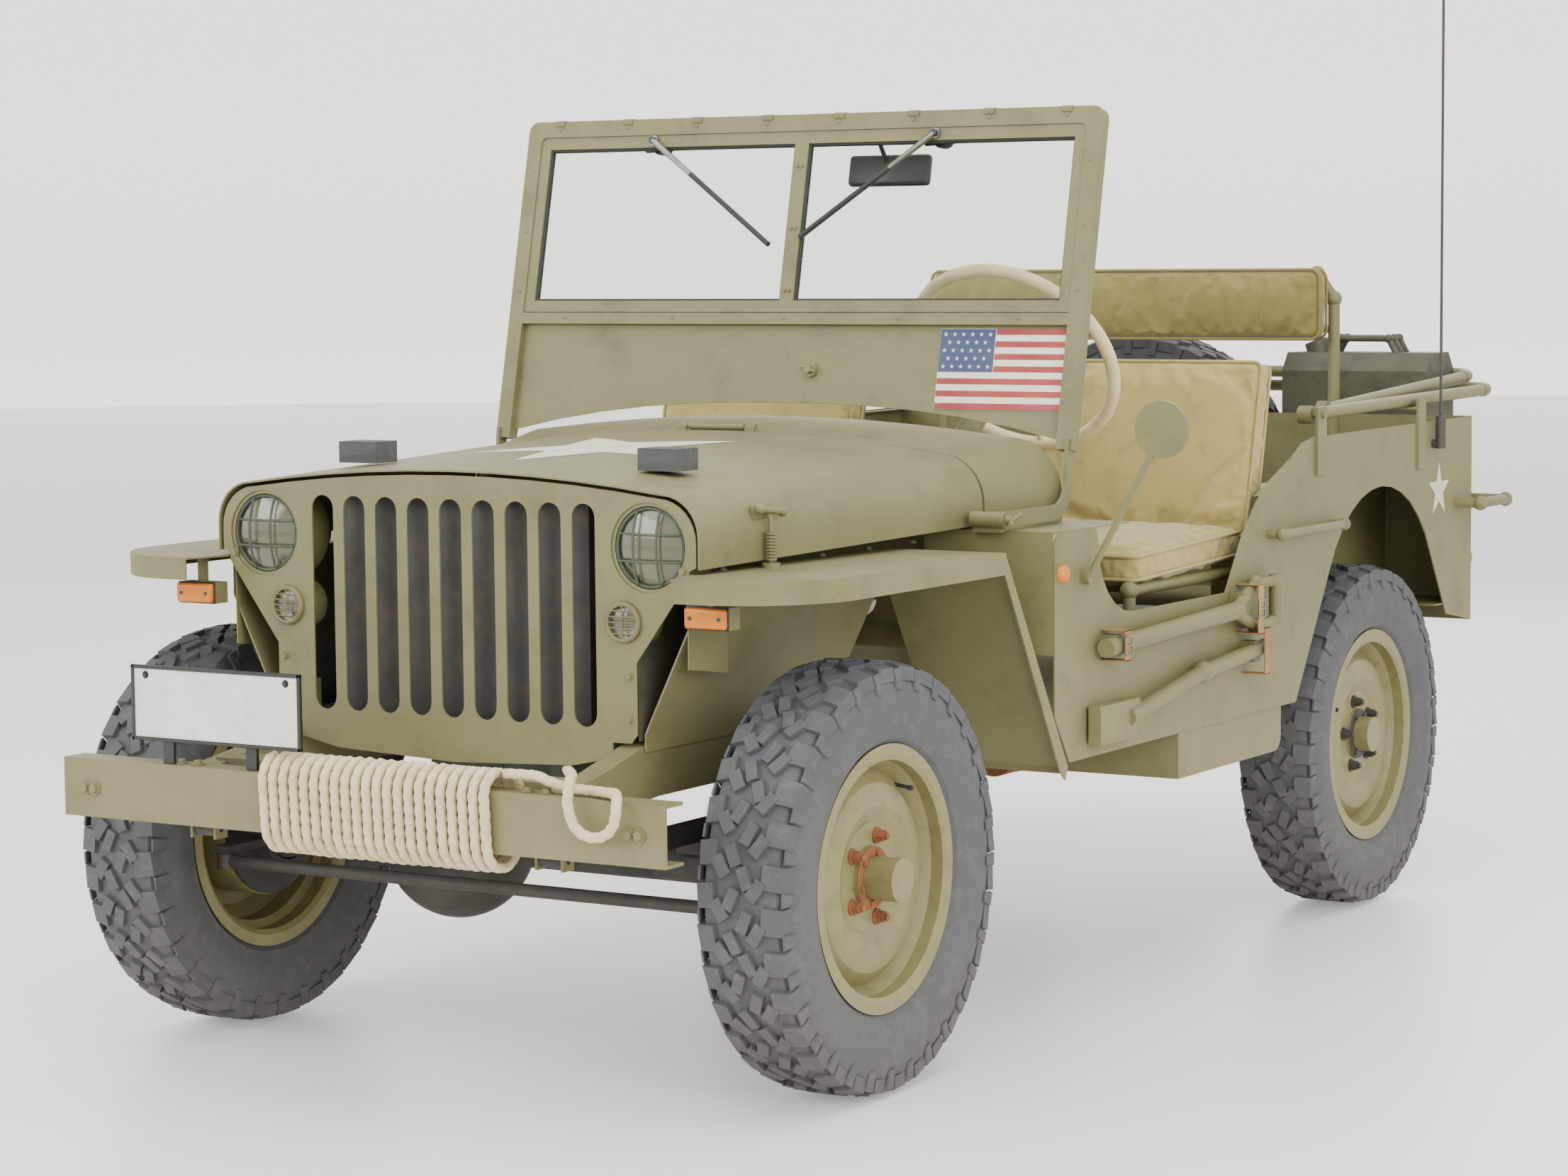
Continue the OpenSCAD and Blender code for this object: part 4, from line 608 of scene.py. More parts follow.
def tread(bm):
    count = 32
    for k in range(count):
        turn = math.tau * k / count
        lean = 1 if k % 2 else -1
        for side in (-1, 1):
            t = turn + (0 if side > 0 else math.pi / count)
            # shoulder bar that wraps on to the side wall, inner block and a chevron at the centre
            lug(bm, t, side * 0.0600, side * 0.10, 0.037, 0.0440 + 0.004 * (k % 3 == 0), CARCASS - 0.012, TYRE_R - 0.0012, 0.90)
            lug(bm, t + 0.30 * math.tau / count, side * 0.0330, side * 0.62, 0.0235, 0.0400, CARCASS - 0.006, TYRE_R - 0.0008, 0.88)
            lug(bm, t + 0.04 * math.tau / count, side * 0.0122, -side * 0.42 * lean, 0.0215, 0.0410, CARCASS - 0.006, TYRE_R - 0.0005, 0.88)
            rib = t + 0.5 * math.tau / count
            verts = []
            for r, h, w in ((TYRE_R - 0.0120, 0.0765, 0.0125), (TYRE_R - 0.046, 0.0822, 0.0085)):
                for s in (-1, 1):
                    verts.append(bm.verts.new((r * math.cos(rib + s * w / r), r * math.sin(rib + s * w / r), side * (h - 0.002))))
                for s in (1, -1):
                    verts.append(bm.verts.new((r * math.cos(rib + s * w * 0.8 / r), r * math.sin(rib + s * w * 0.8 / r), side * (h + 0.0022 - (0.001 if h > 0.08 else 0)))))
            a, b = verts[:4], verts[4:]
            for i in range(4):
                bm.faces.new((a[i], a[(i + 1) % 4], b[(i + 1) % 4], b[i]))
            bm.faces.new(a)
            bm.faces.new(list(reversed(b)))


def placed(bm, at, axis, turn=0.0):
    matrix = Matrix.Translation(at) @ axis_turn(axis) @ Matrix.Rotation(turn, 4, "Z")
    bmesh.ops.transform(bm, matrix=matrix, verts=bm.verts)


WHEELS = [("front_left", 1, FRONT, "road_wheel_front_left"), ("front_right", -1, FRONT, "road_wheel_front_right"),
          ("rear_left", 1, REAR, "road_wheel_rear_left"), ("rear_right", -1, REAR, "road_wheel_rear_right")]
SPARE_AT = (-0.112, 1.6255, 0.822)
for number, (name, side, y, body) in enumerate(WHEELS + [("spare", 0, 0, "root")]):
    at, axis = (SPARE_AT, (0, 1, 0)) if name == "spare" else ((side * TRACK, y, AXLE_Z), (side, 0, 0))
    bm = bmesh.new()
    lathe(bm, SECTION, (0, 0, 0), (0, 0, 1), n=96, closed=True)
    tread(bm)
    placed(bm, at, axis, 0.37 * number + 0.05)
    tyre = piece(f"{name}_tyre_with_tread", bm, rubber, body, crease=28)
    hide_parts("spare_tyre" if name == "spare" else f"tyre_{name}")
    # valve stem, lug bolts, and a hub flange with its ring of bolts
    bm = bmesh.new()
    m = Matrix.Translation(at) @ axis_turn(axis) @ Matrix.Rotation(0.3 + 0.9 * number, 4, "Z")
    P = lambda r, a, h: m @ Vector((r * math.cos(a), r * math.sin(a), h))
    out = m.to_3x3() @ Vector((0, 0, 1))
    for k in range(5):
        a = math.tau * k / 5
        rod(bm, P(0.0700, a, 0.031), P(0.0700, a, 0.0365), 0.0135, n=20)
        rod(bm, P(0.0700, a, 0.0365), P(0.0700, a, 0.0500), 0.0105, 0.0095, n=6)
        rod(bm, P(0.0700, a, 0.0500), P(0.0700, a, 0.0560), 0.0058, n=12)
    piece(f"{name}_lug_nuts", bm, rust if name == "front_left" else chassis_steel, body, crease=35)
    if name != "spare":
        bm = bmesh.new()
        top = 0.040
        for k in range(6):
            a = math.tau * (k + 0.5) / 6
            bolt(bm, P(0.0425, a, top - 0.0015), out, 0.0062, 0.0055)
        lathe(bm, [(0.0365, 0.036), (0.0505, 0.0375), (0.0515, 0.0405), (0.0500, 0.0420), (0.0370, 0.0425)], (0, 0, 0), (0, 0, 1), n=40, closed=True)
        # the ring was made at the origin, so only it is carried out to the hub
        ring = [v for v in bm.verts if v.co.length < 0.08 and abs(v.co.x) < 0.06]
        bmesh.ops.transform(bm, matrix=m, verts=ring)
        piece(f"{name}_hub_flange_bolts", bm, rust if name == "front_left" else chassis_steel, body, crease=35)
    bm = bmesh.new()
    rod(bm, P(RIM_R - 0.030, 2.2, 0.022), P(RIM_R - 0.034, 2.2, 0.050), 0.0032, n=10)
    rod(bm, P(RIM_R - 0.034, 2.2, 0.048), P(RIM_R - 0.0345, 2.2, 0.058), 0.0042, n=10)
    piece(f"{name}_tyre_valve", bm, black_rubber, body, crease=35)

# ---------------------------------------------------------------- head and marker lamps
for side, label in ((1, "left"), (-1, "right")):
    x, z = side * 0.392, 0.898
    sunk = GRILLE_Y + 0.009
    bm = bmesh.new()
    lathe(bm, [(0.0, -0.034), (0.030, -0.029), (0.048, -0.017), (0.0600, 0.0)], (x, sunk + 0.004, z), (0, -1, 0), n=48)
    piece(f"{label}_headlamp_reflector", bm, reflector, crease=60)
    bm = bmesh.new()
    lathe(bm, [(0.0, 0.0150), (0.025, 0.0138), (0.043, 0.0095), (0.0605, 0.0020), (0.0605, -0.0015), (0.0420, 0.0055), (0.025, 0.0100),
               (0.0, 0.0112)], (x, sunk, z), (0, -1, 0), n=64)
    lens = piece(f"{label}_headlamp_lens", bm, lens_glass, crease=60)
    bm = bmesh.new()
    lathe(bm, [(0.0600, -0.004), (0.0665, -0.004), (0.0668, 0.001), (0.0650, 0.0050), (0.0615, 0.0050), (0.0600, 0.002)],
          (x, sunk, z), (0, -1, 0), n=64, closed=True)
    # guard of four bars over the glass, two each way
    for u in (-0.022, 0.022):
        for flip in (0, 1):
            route_ = []
            for k in range(17):
                v = (-1 + k / 8) * math.sqrt(0.0635 ** 2 - u * u)
                bulge = 0.006 + 0.0165 * (1 - (u * u + v * v) / 0.0635 ** 2)
                px, pz = (u, v) if flip else (v, u)
                route_.append((x + px, sunk - bulge - (0.0012 if flip else 0), z + pz))
            tube(bm, route_, 0.0022, n=8)
    piece(f"{label}_headlamp_rim_and_guard", bm, grey_iron, crease=40)
    bm = bmesh.new()
    ball(bm, (x, sunk + 0.018, z), 0.010, n=14)
    rod(bm, (x, sunk + 0.022, z), (x, sunk + 0.034, z), 0.009, n=14)
    piece(f"{label}_headlamp_bulb", bm, reflector, crease=50)
    # marker lamp: bezel with a hood, and its ribbed glass
    x, z = side * 0.343, 0.777
    bm = bmesh.new()
    lathe(bm, [(0.0265, 0.0), (0.0335, 0.0), (0.0335, 0.0055), (0.0300, 0.0085), (0.0265, 0.0075)], (x, GRILLE_Y + 0.0005, z),
          (0, -1, 0), n=40, closed=True)
    for k in range(-2, 3):
        w = math.sqrt(0.0268 ** 2 - (k * 0.0092) ** 2)
        rod(bm, (x - w, GRILLE_Y - 0.0065, z + k * 0.0092), (x + w, GRILLE_Y - 0.0065, z + k * 0.0092), 0.0011, n=8)
    rod(bm, (x, GRILLE_Y - 0.0075, z - 0.0268), (x, GRILLE_Y - 0.0075, z + 0.0268), 0.0011, n=8)
    piece(f"{label}_marker_bezel", bm, paint, crease=40)
    bm = bmesh.new()
    lathe(bm, [(0.0, 0.0045), (0.015, 0.0040), (0.0262, 0.0), (0.0262, -0.003), (0.0, -0.003)], (x, GRILLE_Y, z), (0, -1, 0), n=40)
    piece(f"{label}_marker_glass", bm, lens_glass, crease=50)
    # turn signal: amber lens in a dark bezel with two screws
    x, y, z = side * 0.520, -1.267, 0.793
    bm = bmesh.new()
    block(bm, (x - 0.0385, y - 0.0110, z - 0.0165), (x + 0.0385, y - 0.0003, z + 0.0165), bevel=0.004, segments=3)
    piece(f"{label}_turn_signal_lens", bm, amber, crease=35)
    bm = bmesh.new()
    block(bm, (x - 0.0405, y - 0.0022, z - 0.0185), (x + 0.0405, y + 0.0008, z + 0.0185), bevel=0.0010, segments=1)
    for u in (-0.027, 0.027):
        rod(bm, (x + u, y - 0.0100, z), (x + u, y - 0.0120, z), 0.0032, n=10)
    piece(f"{label}_turn_signal_bezel", bm, black_enamel, crease=35)
    bm = bmesh.new()
    lathe(bm, [(0.0, 0.0165), (0.012, 0.0155), (0.022, 0.0095), (0.0255, 0.0)], (side * 0.670, 1.5710, 0.685), (0, 1, 0), n=32)
    piece(f"{label}_tail_lens", bm, red_lens, crease=50)
    bm = bmesh.new()
    lathe(bm, [(0.0255, -0.002), (0.0362, -0.002), (0.0362, 0.004), (0.0310, 0.006), (0.0255, 0.003)], (side * 0.670, 1.5710, 0.685),
          (0, 1, 0), n=36, closed=True)
    piece(f"{label}_tail_lamp_rim", bm, paint, crease=40)
    bm = bmesh.new()


# ---------------------------------------------------------------- painted stars, laid on the steel
def star_points(r, turn, inner=0.382):
    return [(r * (1 if k % 2 == 0 else inner) * math.cos(turn + math.pi * k / 5),
             r * (1 if k % 2 == 0 else inner) * math.sin(turn + math.pi * k / 5)) for k in range(10)]


def decal(name, node_name, outline, at, axis, up, mat, body, lift=0.0006, cuts=5, skip=0.0):
    """A thin coat of paint: the outline is laid on the nearest steel along the axis."""
    axis, up = Vector(axis).normalized(), Vector(up).normalized()
    side = up.cross(axis)
    bm = bmesh.new()
    mid = bm.verts.new((0, 0, 0))
    ring = [bm.verts.new((x, y, 0)) for x, y in outline]
    for k in range(len(ring)):
        bm.faces.new((mid, ring[k], ring[(k + 1) % len(ring)]))
    bmesh.ops.subdivide_edges(bm, edges=bm.edges, cuts=cuts, use_grid_fill=True)
    steel = bpy.data.objects[node_name].data
    surface = BVHTree.FromPolygons([v.co for v in steel.vertices], [p.vertices for p in steel.polygons])
    for v in bm.verts:
        start = Vector(at) + side * v.co.x + up * v.co.y + axis * 0.25
        spot = surface.ray_cast(start, -axis, 0.6)[0]
        v.co = (spot if spot else start - axis * 0.25) + axis * lift
    if skip:
        gone = [f for f in bm.faces if noise.noise(f.calc_center_median() * 70) > 0.5 - skip]
        bmesh.ops.delete(bm, geom=gone, context="FACES")
    return piece(name, bm, mat, body, crease=60)


decal("hood_star", "hood", star_points(0.26, math.radians(-90)), (0, -0.80, 1.03), (0, 0, 1), (0, 1, 0), star_white, "hood", cuts=7)
for side, label in ((1, "left"), (-1, "right")):
    decal(f"{label}_side_star", "body_sides", star_points(0.062, math.radians(90)), (side * 0.72, 1.336, 0.848), (side, 0, 0),
          (0, 0, 1), star_white, "root", cuts=2)
    bm = bmesh.new()
    lathe(bm, [(0.0, 0.0150), (0.009, 0.0135), (0.0155, 0.0070), (0.0165, 0.0)], (side * 0.7201, -0.440, 0.806), (side, 0, 0), n=28)
    piece(f"{label}_side_repeater", bm, amber, crease=50)

# ---------------------------------------------------------------- windscreen fittings
LEAN = math.radians(12.3)


def S(x, y, z):
    """A point given in the leaning windscreen's own frame."""
    return Vector((x, -0.222 + y * math.cos(LEAN) + z * math.sin(LEAN), 1.000 - y * math.sin(LEAN) + z * math.cos(LEAN)))


SCREEN = Matrix.Translation(S(0, 0, 0)) @ Matrix.Rotation(-LEAN, 4, "X")
PLATE_X, PLATE_Z, PLATE_W, PLATE_H = 0.337, 0.080, 0.288, 0.150
bm = bmesh.new()
block(bm, (PLATE_X, -0.0012, PLATE_Z), (PLATE_X + PLATE_W, 0.0006, PLATE_Z + PLATE_H), bevel=0.0005, segments=1)
for k in range(7):
    low = PLATE_Z + PLATE_H * 2 * k / 13
    x0 = PLATE_X + (PLATE_W * 0.40 if k > 2 else 0)
    block(bm, (x0 + 0.001, -0.0016, low + 0.0003), (PLATE_X + PLATE_W - 0.001, -0.0011, low + PLATE_H / 13 - 0.0003))
stripes = [f for f in bm.faces if f.calc_center_median().y < -0.0013]
for face in stripes:
    face.material_index = 1
block(bm, (PLATE_X + 0.001, -0.0018, PLATE_Z + PLATE_H * 6 / 13), (PLATE_X + PLATE_W * 0.40, -0.0011, PLATE_Z + PLATE_H - 0.001))
for face in bm.faces:
    if face.calc_center_median().y < -0.0017:
        face.material_index = 2
for row in range(5):
    for col in range(6 - row % 2):
        c = (PLATE_X + 0.0115 + col * 0.0186 + (row % 2) * 0.0093, -0.0018, PLATE_Z + PLATE_H * 6 / 13 + 0.010 + row * 0.0150)
        face = bm.faces.new([bm.verts.new((c[0] + x, c[1] - 0.0002, c[2] + z)) for x, z in star_points(0.0048, math.radians(90))])
bmesh.ops.transform(bm, matrix=SCREEN, verts=bm.verts)
piece("striped_plate", bm, white_paint, "windscreen", crease=30, also=(red_paint, blue_paint))
# bolts round the plate, hinge pins, clamps along the top rail and a stud on the lower panel
bm = bmesh.new()
for x in (PLATE_X + 0.008, PLATE_X + PLATE_W - 0.008):
    for z in (PLATE_Z + 0.008, PLATE_Z + PLATE_H - 0.008):
        rivet(bm, S(x, -0.0016, z), S(0, -1, 0) - S(0, 0, 0), 0.0028)
for k in range(8):
    x = -0.560 + 1.12 * k / 7
    at = S(x, -0.0135, 0.624)
    rivet(bm, at, S(0, -1, 0) - S(0, 0, 0), 0.0045)
    block(bm, S(x - 0.011, -0.016, 0.629), S(x + 0.011, -0.002, 0.6435), bevel=0.0015)
for x in (-0.615, -0.005, 0.005, 0.615):
    for z in (0.30, 0.42, 0.54):
        rivet(bm, S(x, -0.0135, z), S(0, -1, 0) - S(0, 0, 0), 0.0035)
for x in (-0.50, -0.25, 0.0, 0.25, 0.50):
    rivet(bm, S(x, -0.0135, 0.2475), S(0, -1, 0) - S(0, 0, 0), 0.0038)
rod(bm, S(0.066, 0.001, 0.150), S(0.066, -0.006, 0.150), 0.014, n=24)
rod(bm, S(0.066, -0.006, 0.150), S(0.066, -0.016, 0.150), 0.0075, n=16)
rod(bm, S(0.050, -0.013, 0.155), S(0.082, -0.013, 0.145), 0.0030, n=10)
piece("windscreen_rivets_and_clamps", bm, paint, "windscreen", crease=35, bevel=0.0)
# rubber bead round each pane, front and back
bm = bmesh.new()
for side in (-1, 1):
    x0, x1, z0, z1 = side * 0.0165, side * 0.5785, 0.2832, 0.5825
    corner = [(x0, z0), (x1, z0), (x1, z1), (x0, z1)]
    for p, q in zip(corner, corner[1:] + corner[:1]):
        rod(bm, S(p[0], -0.0030, p[1]), S(q[0], -0.0030, q[1]), 0.0030, n=8)
        rod(bm, S(p[0], 0.0030, p[1]), S(q[0], 0.0030, q[1]), 0.0030, n=8)
piece("pane_rubber", bm, black_rubber, "windscreen", crease=60)
# wiper motors' caps inside, blades' spring backs, and the inside mirror on its stem
bm = bmesh.new()
for x in (-0.335, 0.290):
    rod(bm, S(x, 0.0135, 0.594), S(x, 0.034, 0.594), 0.020, 0.017, n=28)
    rod(bm, S(x, -0.0120, 0.596), S(x, -0.0225, 0.596), 0.0070, n=16)
    rod(bm, S(x + 0.030, 0.024, 0.594), S(x - 0.040, 0.024, 0.590), 0.009, n=16)
piece("wiper_motor_caps", bm, black_enamel, "windscreen", crease=35, bevel=0.001)
# each wiper: a pale tapered arm down to a dark blade
arms, blades = bmesh.new(), bmesh.new()
for x_top, x_tip, drop in ((-0.335, -0.045, 0.42), (0.290, 0.022, 0.40)):
    top, tip = S(x_top, -0.0175, 0.596), S(x_tip, -0.0215, 0.640 * (1 - drop) + 0.016)
    rod(arms, top, top.lerp(tip, 0.50), 0.0062, 0.0042, n=12)
    rod(blades, top.lerp(tip, 0.33), tip, 0.0052, n=10)
    rod(blades, top.lerp(tip, 0.33) + Vector((0, 0.004, 0)), tip + Vector((0, 0.004, 0)), 0.0030, n=8)
piece("wiper_arms", arms, bright_steel, "windscreen", crease=60)
piece("wiper_blades", blades, black_rubber, "windscreen", crease=60)
bm = bmesh.new()
block(bm, (0.070, 0.052, 0.515), (0.245, 0.071, 0.575), bevel=0.008, segments=3)
rod(bm, (0.150, 0.0125, 0.600), (0.152, 0.060, 0.556), 0.0045, n=12)
rod(bm, (0.150, 0.0110, 0.600), (0.150, 0.016, 0.600), 0.013, n=20)
bmesh.ops.transform(bm, matrix=SCREEN, verts=bm.verts)
piece("inside_mirror", bm, black_enamel, "windscreen", crease=35)
bm = bmesh.new()
block(bm, (0.078, 0.0705, 0.522), (0.237, 0.0718, 0.568), bevel=0.0005, segments=1)
bmesh.ops.transform(bm, matrix=SCREEN, verts=bm.verts)
piece("inside_mirror_glass", bm, mirror_glass, "windscreen", crease=35)
# wing nuts where the arms pivot, and stay slides up the inside of the posts
for side, label in ((1, "left"), (-1, "right")):
    bm = bmesh.new()
    x = side * 0.6345
    rod(bm, (x, -0.480, 0.900), (x + side * 0.012, -0.480, 0.900), 0.0095, 0.0080, n=20)
    for s in (-1, 1):
        rod(bm, (x + side * 0.009, -0.480, 0.900), (x + side * 0.018, -0.480 + s * 0.020, 0.900 + s * 0.009), 0.0034, 0.0050, n=10)
    piece(f"{label}_pivot_wing_nut", bm, paint, "windscreen", crease=50)
    bm = bmesh.new()
    tube(bm, [S(side * 0.612, 0.016, z) for z in (0.30, 0.36, 0.43)], 0.004, n=10)
    for z in (0.30, 0.43):
        ball(bm, S(side * 0.612, 0.017, z), 0.0095, n=14)
    piece(f"{label}_window_stay", bm, bright_steel, "windscreen", crease=50)

# ---------------------------------------------------------------- hood and fender fittings
for side, label in ((1, "left"), (-1, "right")):
    x = side * 0.5165
    bm = bmesh.new()
    # spring hook over the hood's edge with its T-handle, standing on the fender
    tube(bm, rounded([(x, -1.070, 0.8585), (x, -1.070, 0.935), (x - side * 0.004, -1.070, 0.948), (x - side * 0.022, -1.070, 0.951)], 0.008), 0.0045, n=10)
    for k in range(9):
        z = 0.872 + k * 0.0052
        bmesh.ops.create_cone(bm, cap_ends=True, segments=18, radius1=0.0095, radius2=0.0095, depth=0.0034,
                              matrix=Matrix.Translation((x, -1.070, z)))
    rod(bm, (x + side * 0.002, -1.102, 0.955), (x + side * 0.002, -1.038, 0.947), 0.0052, n=12)
    ball(bm, (x + side * 0.002, -1.104, 0.955), 0.0085, n=12)
    ball(bm, (x + side * 0.002, -1.036, 0.947), 0.0085, n=12)
    block(bm, (side * 0.4935, -1.098, 0.936), (side * 0.5015, -1.042, 0.962), bevel=0.003)
    rod(bm, (x, -1.070, 0.8580), (x, -1.070, 0.866), 0.015, n=20)
    piece(f"{label}_hood_catch", bm, paint, "root", crease=40)
    bm = bmesh.new()
    for k in range(5):
        bolt(bm, (side * 0.4745, -1.150 + 0.155 * k, 0.8585), (0, 0, 1), 0.0055, 0.004)
    for x, z in ((0.4570, 0.862), (0.3520, 0.690), (0.3520, 0.620)):
        bolt(bm, (side * x, GRILLE_Y, z), (0, -1, 0), 0.0055, 0.004)
    piece(f"{label}_fender_bolts", bm, paint, "root", crease=35)
bm = bmesh.new()
for x in (-0.555, -0.535, 0.535, 0.555):
    bolt(bm, (x, -1.5203, 0.4855), (0, -1, 0), 0.0085, 0.006)
for x in (-0.349, 0.349):
    for s in (-0.018, 0.018):
        bolt(bm, (x + s, -1.4960, 0.5352), (0, 0, 1), 0.0080, 0.006)
piece("bumper_bolts", bm, paint, "root", crease=35)

# ---------------------------------------------------------------- number plate: raised dark rim, blank face
bm = bmesh.new()
x0, x1, y, z0, z1 = -0.4525, -0.0985, -1.5146, 0.5725, 0.6975
for a, b, c, d in ((x0, z0, x1, z0 + 0.006), (x0, z1 - 0.006, x1, z1), (x0, z0, x0 + 0.006, z1), (x1 - 0.006, z0, x1, z1)):
    block(bm, (a, y - 0.004, b), (c, y + 0.004, d), bevel=0.001, segments=1)
for x, z in ((x0 + 0.030, z1 - 0.016), (x1 - 0.030, z1 - 0.016)):
    bolt(bm, (x, y - 0.0005, z), (0, -1, 0), 0.0045, 0.003)
piece("plate_rim", bm, black_enamel, "root", crease=35)
bm = bmesh.new()
block(bm, (x0 + 0.005, y - 0.0012, z0 + 0.005), (x1 - 0.005, y + 0.0006, z1 - 0.005), bevel=0.0004, segments=1)
piece("plate_face", bm, white_paint, "root", crease=35)

# ---------------------------------------------------------------- cushions, filled by a cloth simulation
STITCH = []


def cushion(name, size, place, mat, body, replaced, pressure=4.0, edge=0.018, puff=0.012, tuck=0.0, voxel=0.006):
    """A boxed cushion: a closed cover of canvas, blown up a little, its seams held."""
    w, d, h = size
    bm = bmesh.new()
    block(bm, (-w / 2, -d / 2, -h / 2), (w / 2, d / 2, h / 2), bevel=edge, segments=4)
    bmesh.ops.recalc_face_normals(bm, faces=bm.faces)
    mesh = bpy.data.meshes.new(name)
    bm.to_mesh(mesh)
    bm.free()
    made = bpy.data.objects.new(name, mesh)
    bpy.context.scene.collection.objects.link(made)
    voxels = made.modifiers.new("even", "REMESH")
    voxels.mode, voxels.voxel_size = "VOXEL", voxel
    graph = bpy.context.evaluated_depsgraph_get()
    even = bpy.data.meshes.new_from_object(made.evaluated_get(graph))
    made.modifiers.clear()
    made.data = even
    rest = [v.co.copy() for v in even.vertices]
    held = made.vertex_groups.new(name="seam")
    for v in even.vertices:
        a, b, c = (abs(v.co.x) - (w / 2 - edge), abs(v.co.y) - (d / 2 - edge), abs(v.co.z) - h / 2 * 0.45)
        if (a > 0) + (b > 0) >= 1 and abs(abs(v.co.z) - (h / 2 - edge * 0.45)) < voxel * 0.8:
            held.add([v.index], 1.0, "REPLACE")
    for i, v in enumerate(even.vertices):
        v.co += v.normal * 0.0012 * noise.noise(v.co * 31)
    sim = made.modifiers.new("fill", "CLOTH")
    s = sim.settings
    s.quality, s.mass = 5, 0.35
    s.tension_stiffness = s.compression_stiffness = 18
    s.shear_stiffness, s.bending_stiffness = 6, 0.6
    s.effector_weights.gravity = 0
    s.use_pressure, s.uniform_pressure_force = True, pressure
    s.shrink_min = -0.055
    s.vertex_group_mass = "seam"
    s.pin_stiffness = 1.0
    sim.collision_settings.use_collision = False
    sim.point_cache.frame_start, sim.point_cache.frame_end = 1, 20
    scene = bpy.context.scene
    for f in range(1, 21):
        scene.frame_set(f)
    graph = bpy.context.evaluated_depsgraph_get()
    filled = bpy.data.meshes.new_from_object(made.evaluated_get(graph))
    made.modifiers.clear()
    made.vertex_groups.clear()
    made.data = filled
    for v, was in zip(filled.vertices, rest):
        step = v.co - was
        if step.length > puff:
            step *= puff / step.length
        v.co = was + step
    scene.frame_set(1)
    made.data.transform(place)
    made.data.update()
    for face in made.data.polygons:
        face.use_smooth = True
    made.data.materials.clear()
    made.data.materials.append(mat)
    smoother = made.modifiers.new("smooth", "SUBSURF")
    smoother.levels = smoother.render_levels = 1
    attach(made, body)
    if replaced:
        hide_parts(replaced)
    # piping along the two seams
    bm = bmesh.new()
    for s in (-1, 1):
        ring, r = [], edge * 0.95
        for cx, cy, a0 in ((w / 2 - r, d / 2 - r, 0), (-w / 2 + r, d / 2 - r, 90), (-w / 2 + r, -d / 2 + r, 180), (w / 2 - r, -d / 2 + r, 270)):
            for k in range(7):
                a = math.radians(a0 + 15 * k)
                ring.append(place @ Vector((cx + r * math.cos(a), cy + r * math.sin(a), s * (h / 2 - edge * 0.42))))
        for p, q in zip(ring, ring[1:] + ring[:1]):
            if (q - p).length > 1e-5:
                rod(bm, p, q, 0.0034, n=8)
                ball(bm, p, 0.0034, n=8)
    welt = piece(f"{name}_piping", bm, mat, body, crease=80)
    return made


def pose(at, along_x=(1, 0, 0), up=(0, 0, 1)):
    x, z = Vector(along_x).normalized(), Vector(up).normalized()
    y = z.cross(x).normalized()
    z = x.cross(y)
    return Matrix.Translation(at) @ Matrix((x, y, z)).transposed().to_4x4()


BACK = Vector((0, 0.078, 0.334)).normalized()
for side, label, body in ((1, "driver", "root"), (-1, "passenger", "passenger_seat")):
    x = side * 0.457
    cushion(f"{label}_seat_cushion", (0.436, 0.476, 0.058), pose((x, 0.185, 0.7915), up=(0, -0.035, 1)), khaki, body,
            f"{label}_seat_pads", puff=0.010)
    mid = Vector((x, 0.514, 0.964)) + Vector((0, -0.334, 0.078)).normalized() * 0.0
    cushion(f"{label}_seat_back_cushion", (0.462, 0.345, 0.058), pose((x, 0.462, 0.9745), up=(0, -BACK.z, BACK.y)), khaki, body, None,
            puff=0.011)
cushion("rear_seat_cushion_cover", (0.985, 0.428, 0.066), pose((0, 1.046, 0.7825)), khaki, "root", "rear_seat_cushion", puff=0.010, voxel=0.007)
cushion("rear_backrest_cover", (0.955, 0.150, 0.056), pose((0, 1.271, 1.2475), up=(0, -1, 0)), olive_duck, "rear_backrest",
        "rear_seat_back", puff=0.012, edge=0.022, voxel=0.0065)
# the rear cushion's own legs, which the cushion piece stands for too
bm = bmesh.new()
for y in (0.856, 1.236):
    tube(bm, rounded([(0.4825, y, 0.6015), (0.4825, y, 0.731), (-0.4825, y, 0.731), (-0.4825, y, 0.6015)], 0.045), 0.012, n=14)
piece("rear_cushion_legs", bm, paint, "root", crease=60)

# smooth bent tubes over the jointed steel of the seats
bm = bmesh.new()
tube(bm, rounded([(0.4845, 1.316, 0.907), (0.4845, 1.316, 1.259), (0.4445, 1.316, 1.313), (-0.4445, 1.316, 1.313),
                  (-0.4845, 1.316, 1.259), (-0.4845, 1.316, 0.907)], 0.05), 0.0128, n=14)
piece("rear_backrest_hoop", bm, paint, "rear_backrest", crease=60)

# ---------------------------------------------------------------- steering wheel and horn button
wheel_at, tilt = Vector((0.300, 0.180, 1.160)), math.radians(35)
up_way = Vector((0, math.cos(tilt), math.sin(tilt)))
m = Matrix.Translation(wheel_at) @ axis_turn(up_way)
bm = bmesh.new()
ring = [m @ Vector((0.207 * math.cos(a), 0.207 * math.sin(a), 0)) for a in (math.tau * k / 180 for k in range(180))]
for k in range(180):
    way = (ring[(k + 1) % 180] - ring[k]).normalized()
    p, q = ring[k], ring[(k + 1) % 180]
    rod(bm, p - way * 0.001, q + way * 0.001, 0.0122, 0.0134, n=14)
piece("steering_wheel_wrap", bm, cream, "steering", crease=50)
bm = bmesh.new()
rod(bm, wheel_at + up_way * 0.010, wheel_at + up_way * 0.020, 0.026, 0.018, n=28)
piece("horn_button", bm, black_enamel, "steering", crease=40, bevel=0.002)

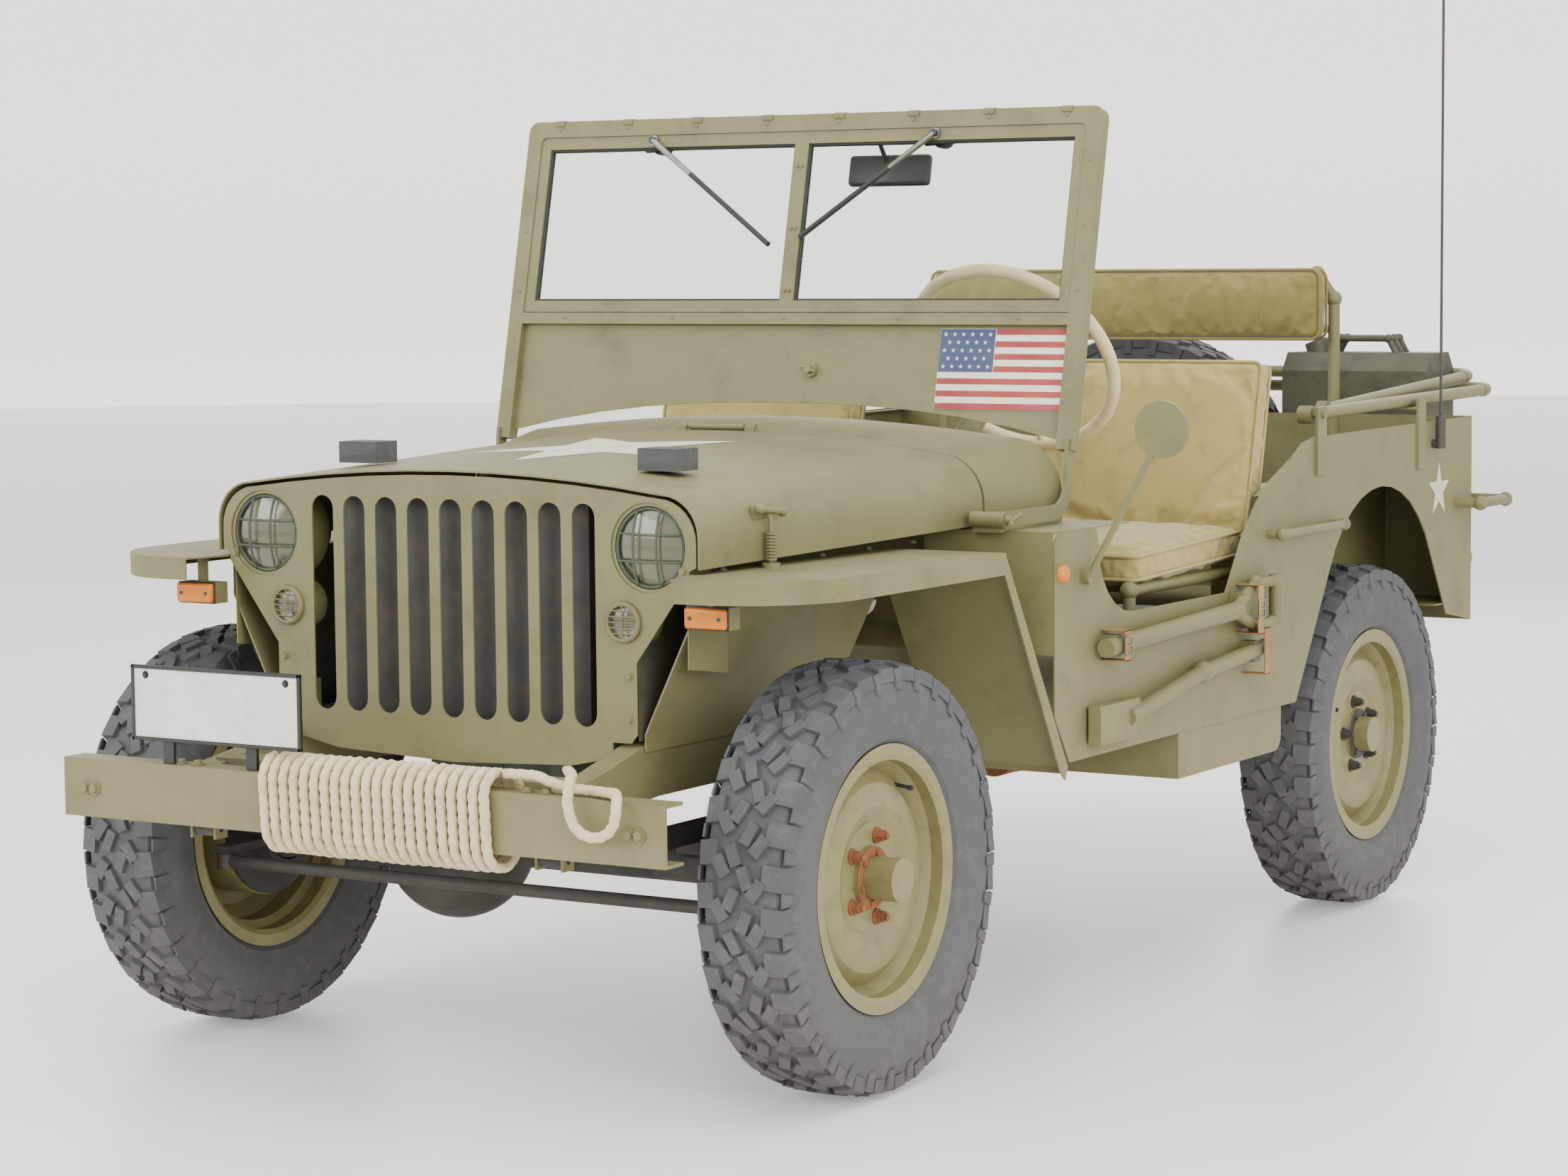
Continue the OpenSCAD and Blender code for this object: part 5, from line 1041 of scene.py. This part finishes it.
# ---------------------------------------------------------------- splash panels between grille and fenders
for side, label in ((1, "left"), (-1, "right")):
    bm = bmesh.new()
    place = Matrix(((0, 0, 1, side * 0.4615), (1, 0, 0, 0), (0, 1, 0, 0), (0, 0, 0, 1)))
    sheet(bm, [(-1.2355, 0.705), (-1.120, 0.690), (-1.120, 0.8545), (-1.2355, 0.8545)], 0.0022, place)
    piece(f"{label}_splash_panel", bm, paint, "root", crease=30)
    # the inner panel takes the darker enamel: painted shade in the recess behind the grille
    bm = bmesh.new()
    place = Matrix(((0, 0, 1, side * 0.3660), (1, 0, 0, 0), (0, 1, 0, 0), (0, 0, 0, 1)))
    sheet(bm, [(-1.2355, 0.585), (-1.010, 0.585), (-1.010, 0.8545), (-1.2355, 0.8545)], 0.0022, place)
    piece(f"{label}_inner_splash_panel", bm, dark_paint, "root", crease=30)

# ---------------------------------------------------------------- straps, buckles and gauges
bm = bmesh.new()
for y, z0, z1 in ((-0.275, 0.645, 0.690), (0.300, 0.640, 0.725), (0.330, 0.560, 0.640)):
    x0, x1 = 0.7205, 0.7675
    for a, b in (((x0, z1 + 0.004), (x1, z1 + 0.004)), ((x1, z1 + 0.004), (x1, z0 - 0.004)), ((x1, z0 - 0.004), (x0, z0 - 0.004))):
        block(bm, (min(a[0], b[0]) - 0.0012, y - 0.0125, min(a[1], b[1]) - 0.0012), (max(a[0], b[0]) + 0.0012, y + 0.0125, max(a[1], b[1]) + 0.0012), bevel=0.0006, segments=1)
piece("tool_straps", bm, leather, "root", crease=35)
bm = bmesh.new()
for y, z in ((-0.275, 0.668), (0.300, 0.684)):
    for a, b in (((-0.014, -0.016), (0.014, -0.016)), ((0.014, -0.016), (0.014, 0.016)), ((0.014, 0.016), (-0.014, 0.016)), ((-0.014, 0.016), (-0.014, -0.016)), ((-0.014, 0), (0.014, 0))):
        rod(bm, (0.7705, y + a[0], z + a[1]), (0.7705, y + b[0], z + b[1]), 0.0018, n=8)
piece("tool_strap_buckles", bm, bright_steel, "root", crease=40)
# dials on the dashboard's driver side
bm = bmesh.new()
glass_bm = bmesh.new()
needles = bmesh.new()
for x in (-0.105, 0.0, 0.105):
    lathe(bm, [(0.0335, 0.0), (0.0385, 0.0), (0.0385, 0.003), (0.0345, 0.004)], (x, -0.2310, 0.952), (0, 1, 0), n=32, closed=True)
    rod(glass_bm, (x, -0.2322, 0.952), (x, -0.2300, 0.952), 0.0335, n=32)
    rod(needles, (x, -0.2298, 0.952), (x + 0.016, -0.2298, 0.972), 0.0011, n=6)
piece("gauge_bezels", bm, black_enamel, "root", crease=40)
piece("gauge_faces", glass_bm, black_enamel, "root", crease=40)
piece("gauge_needles", needles, white_paint, "root", crease=40)

low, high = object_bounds()
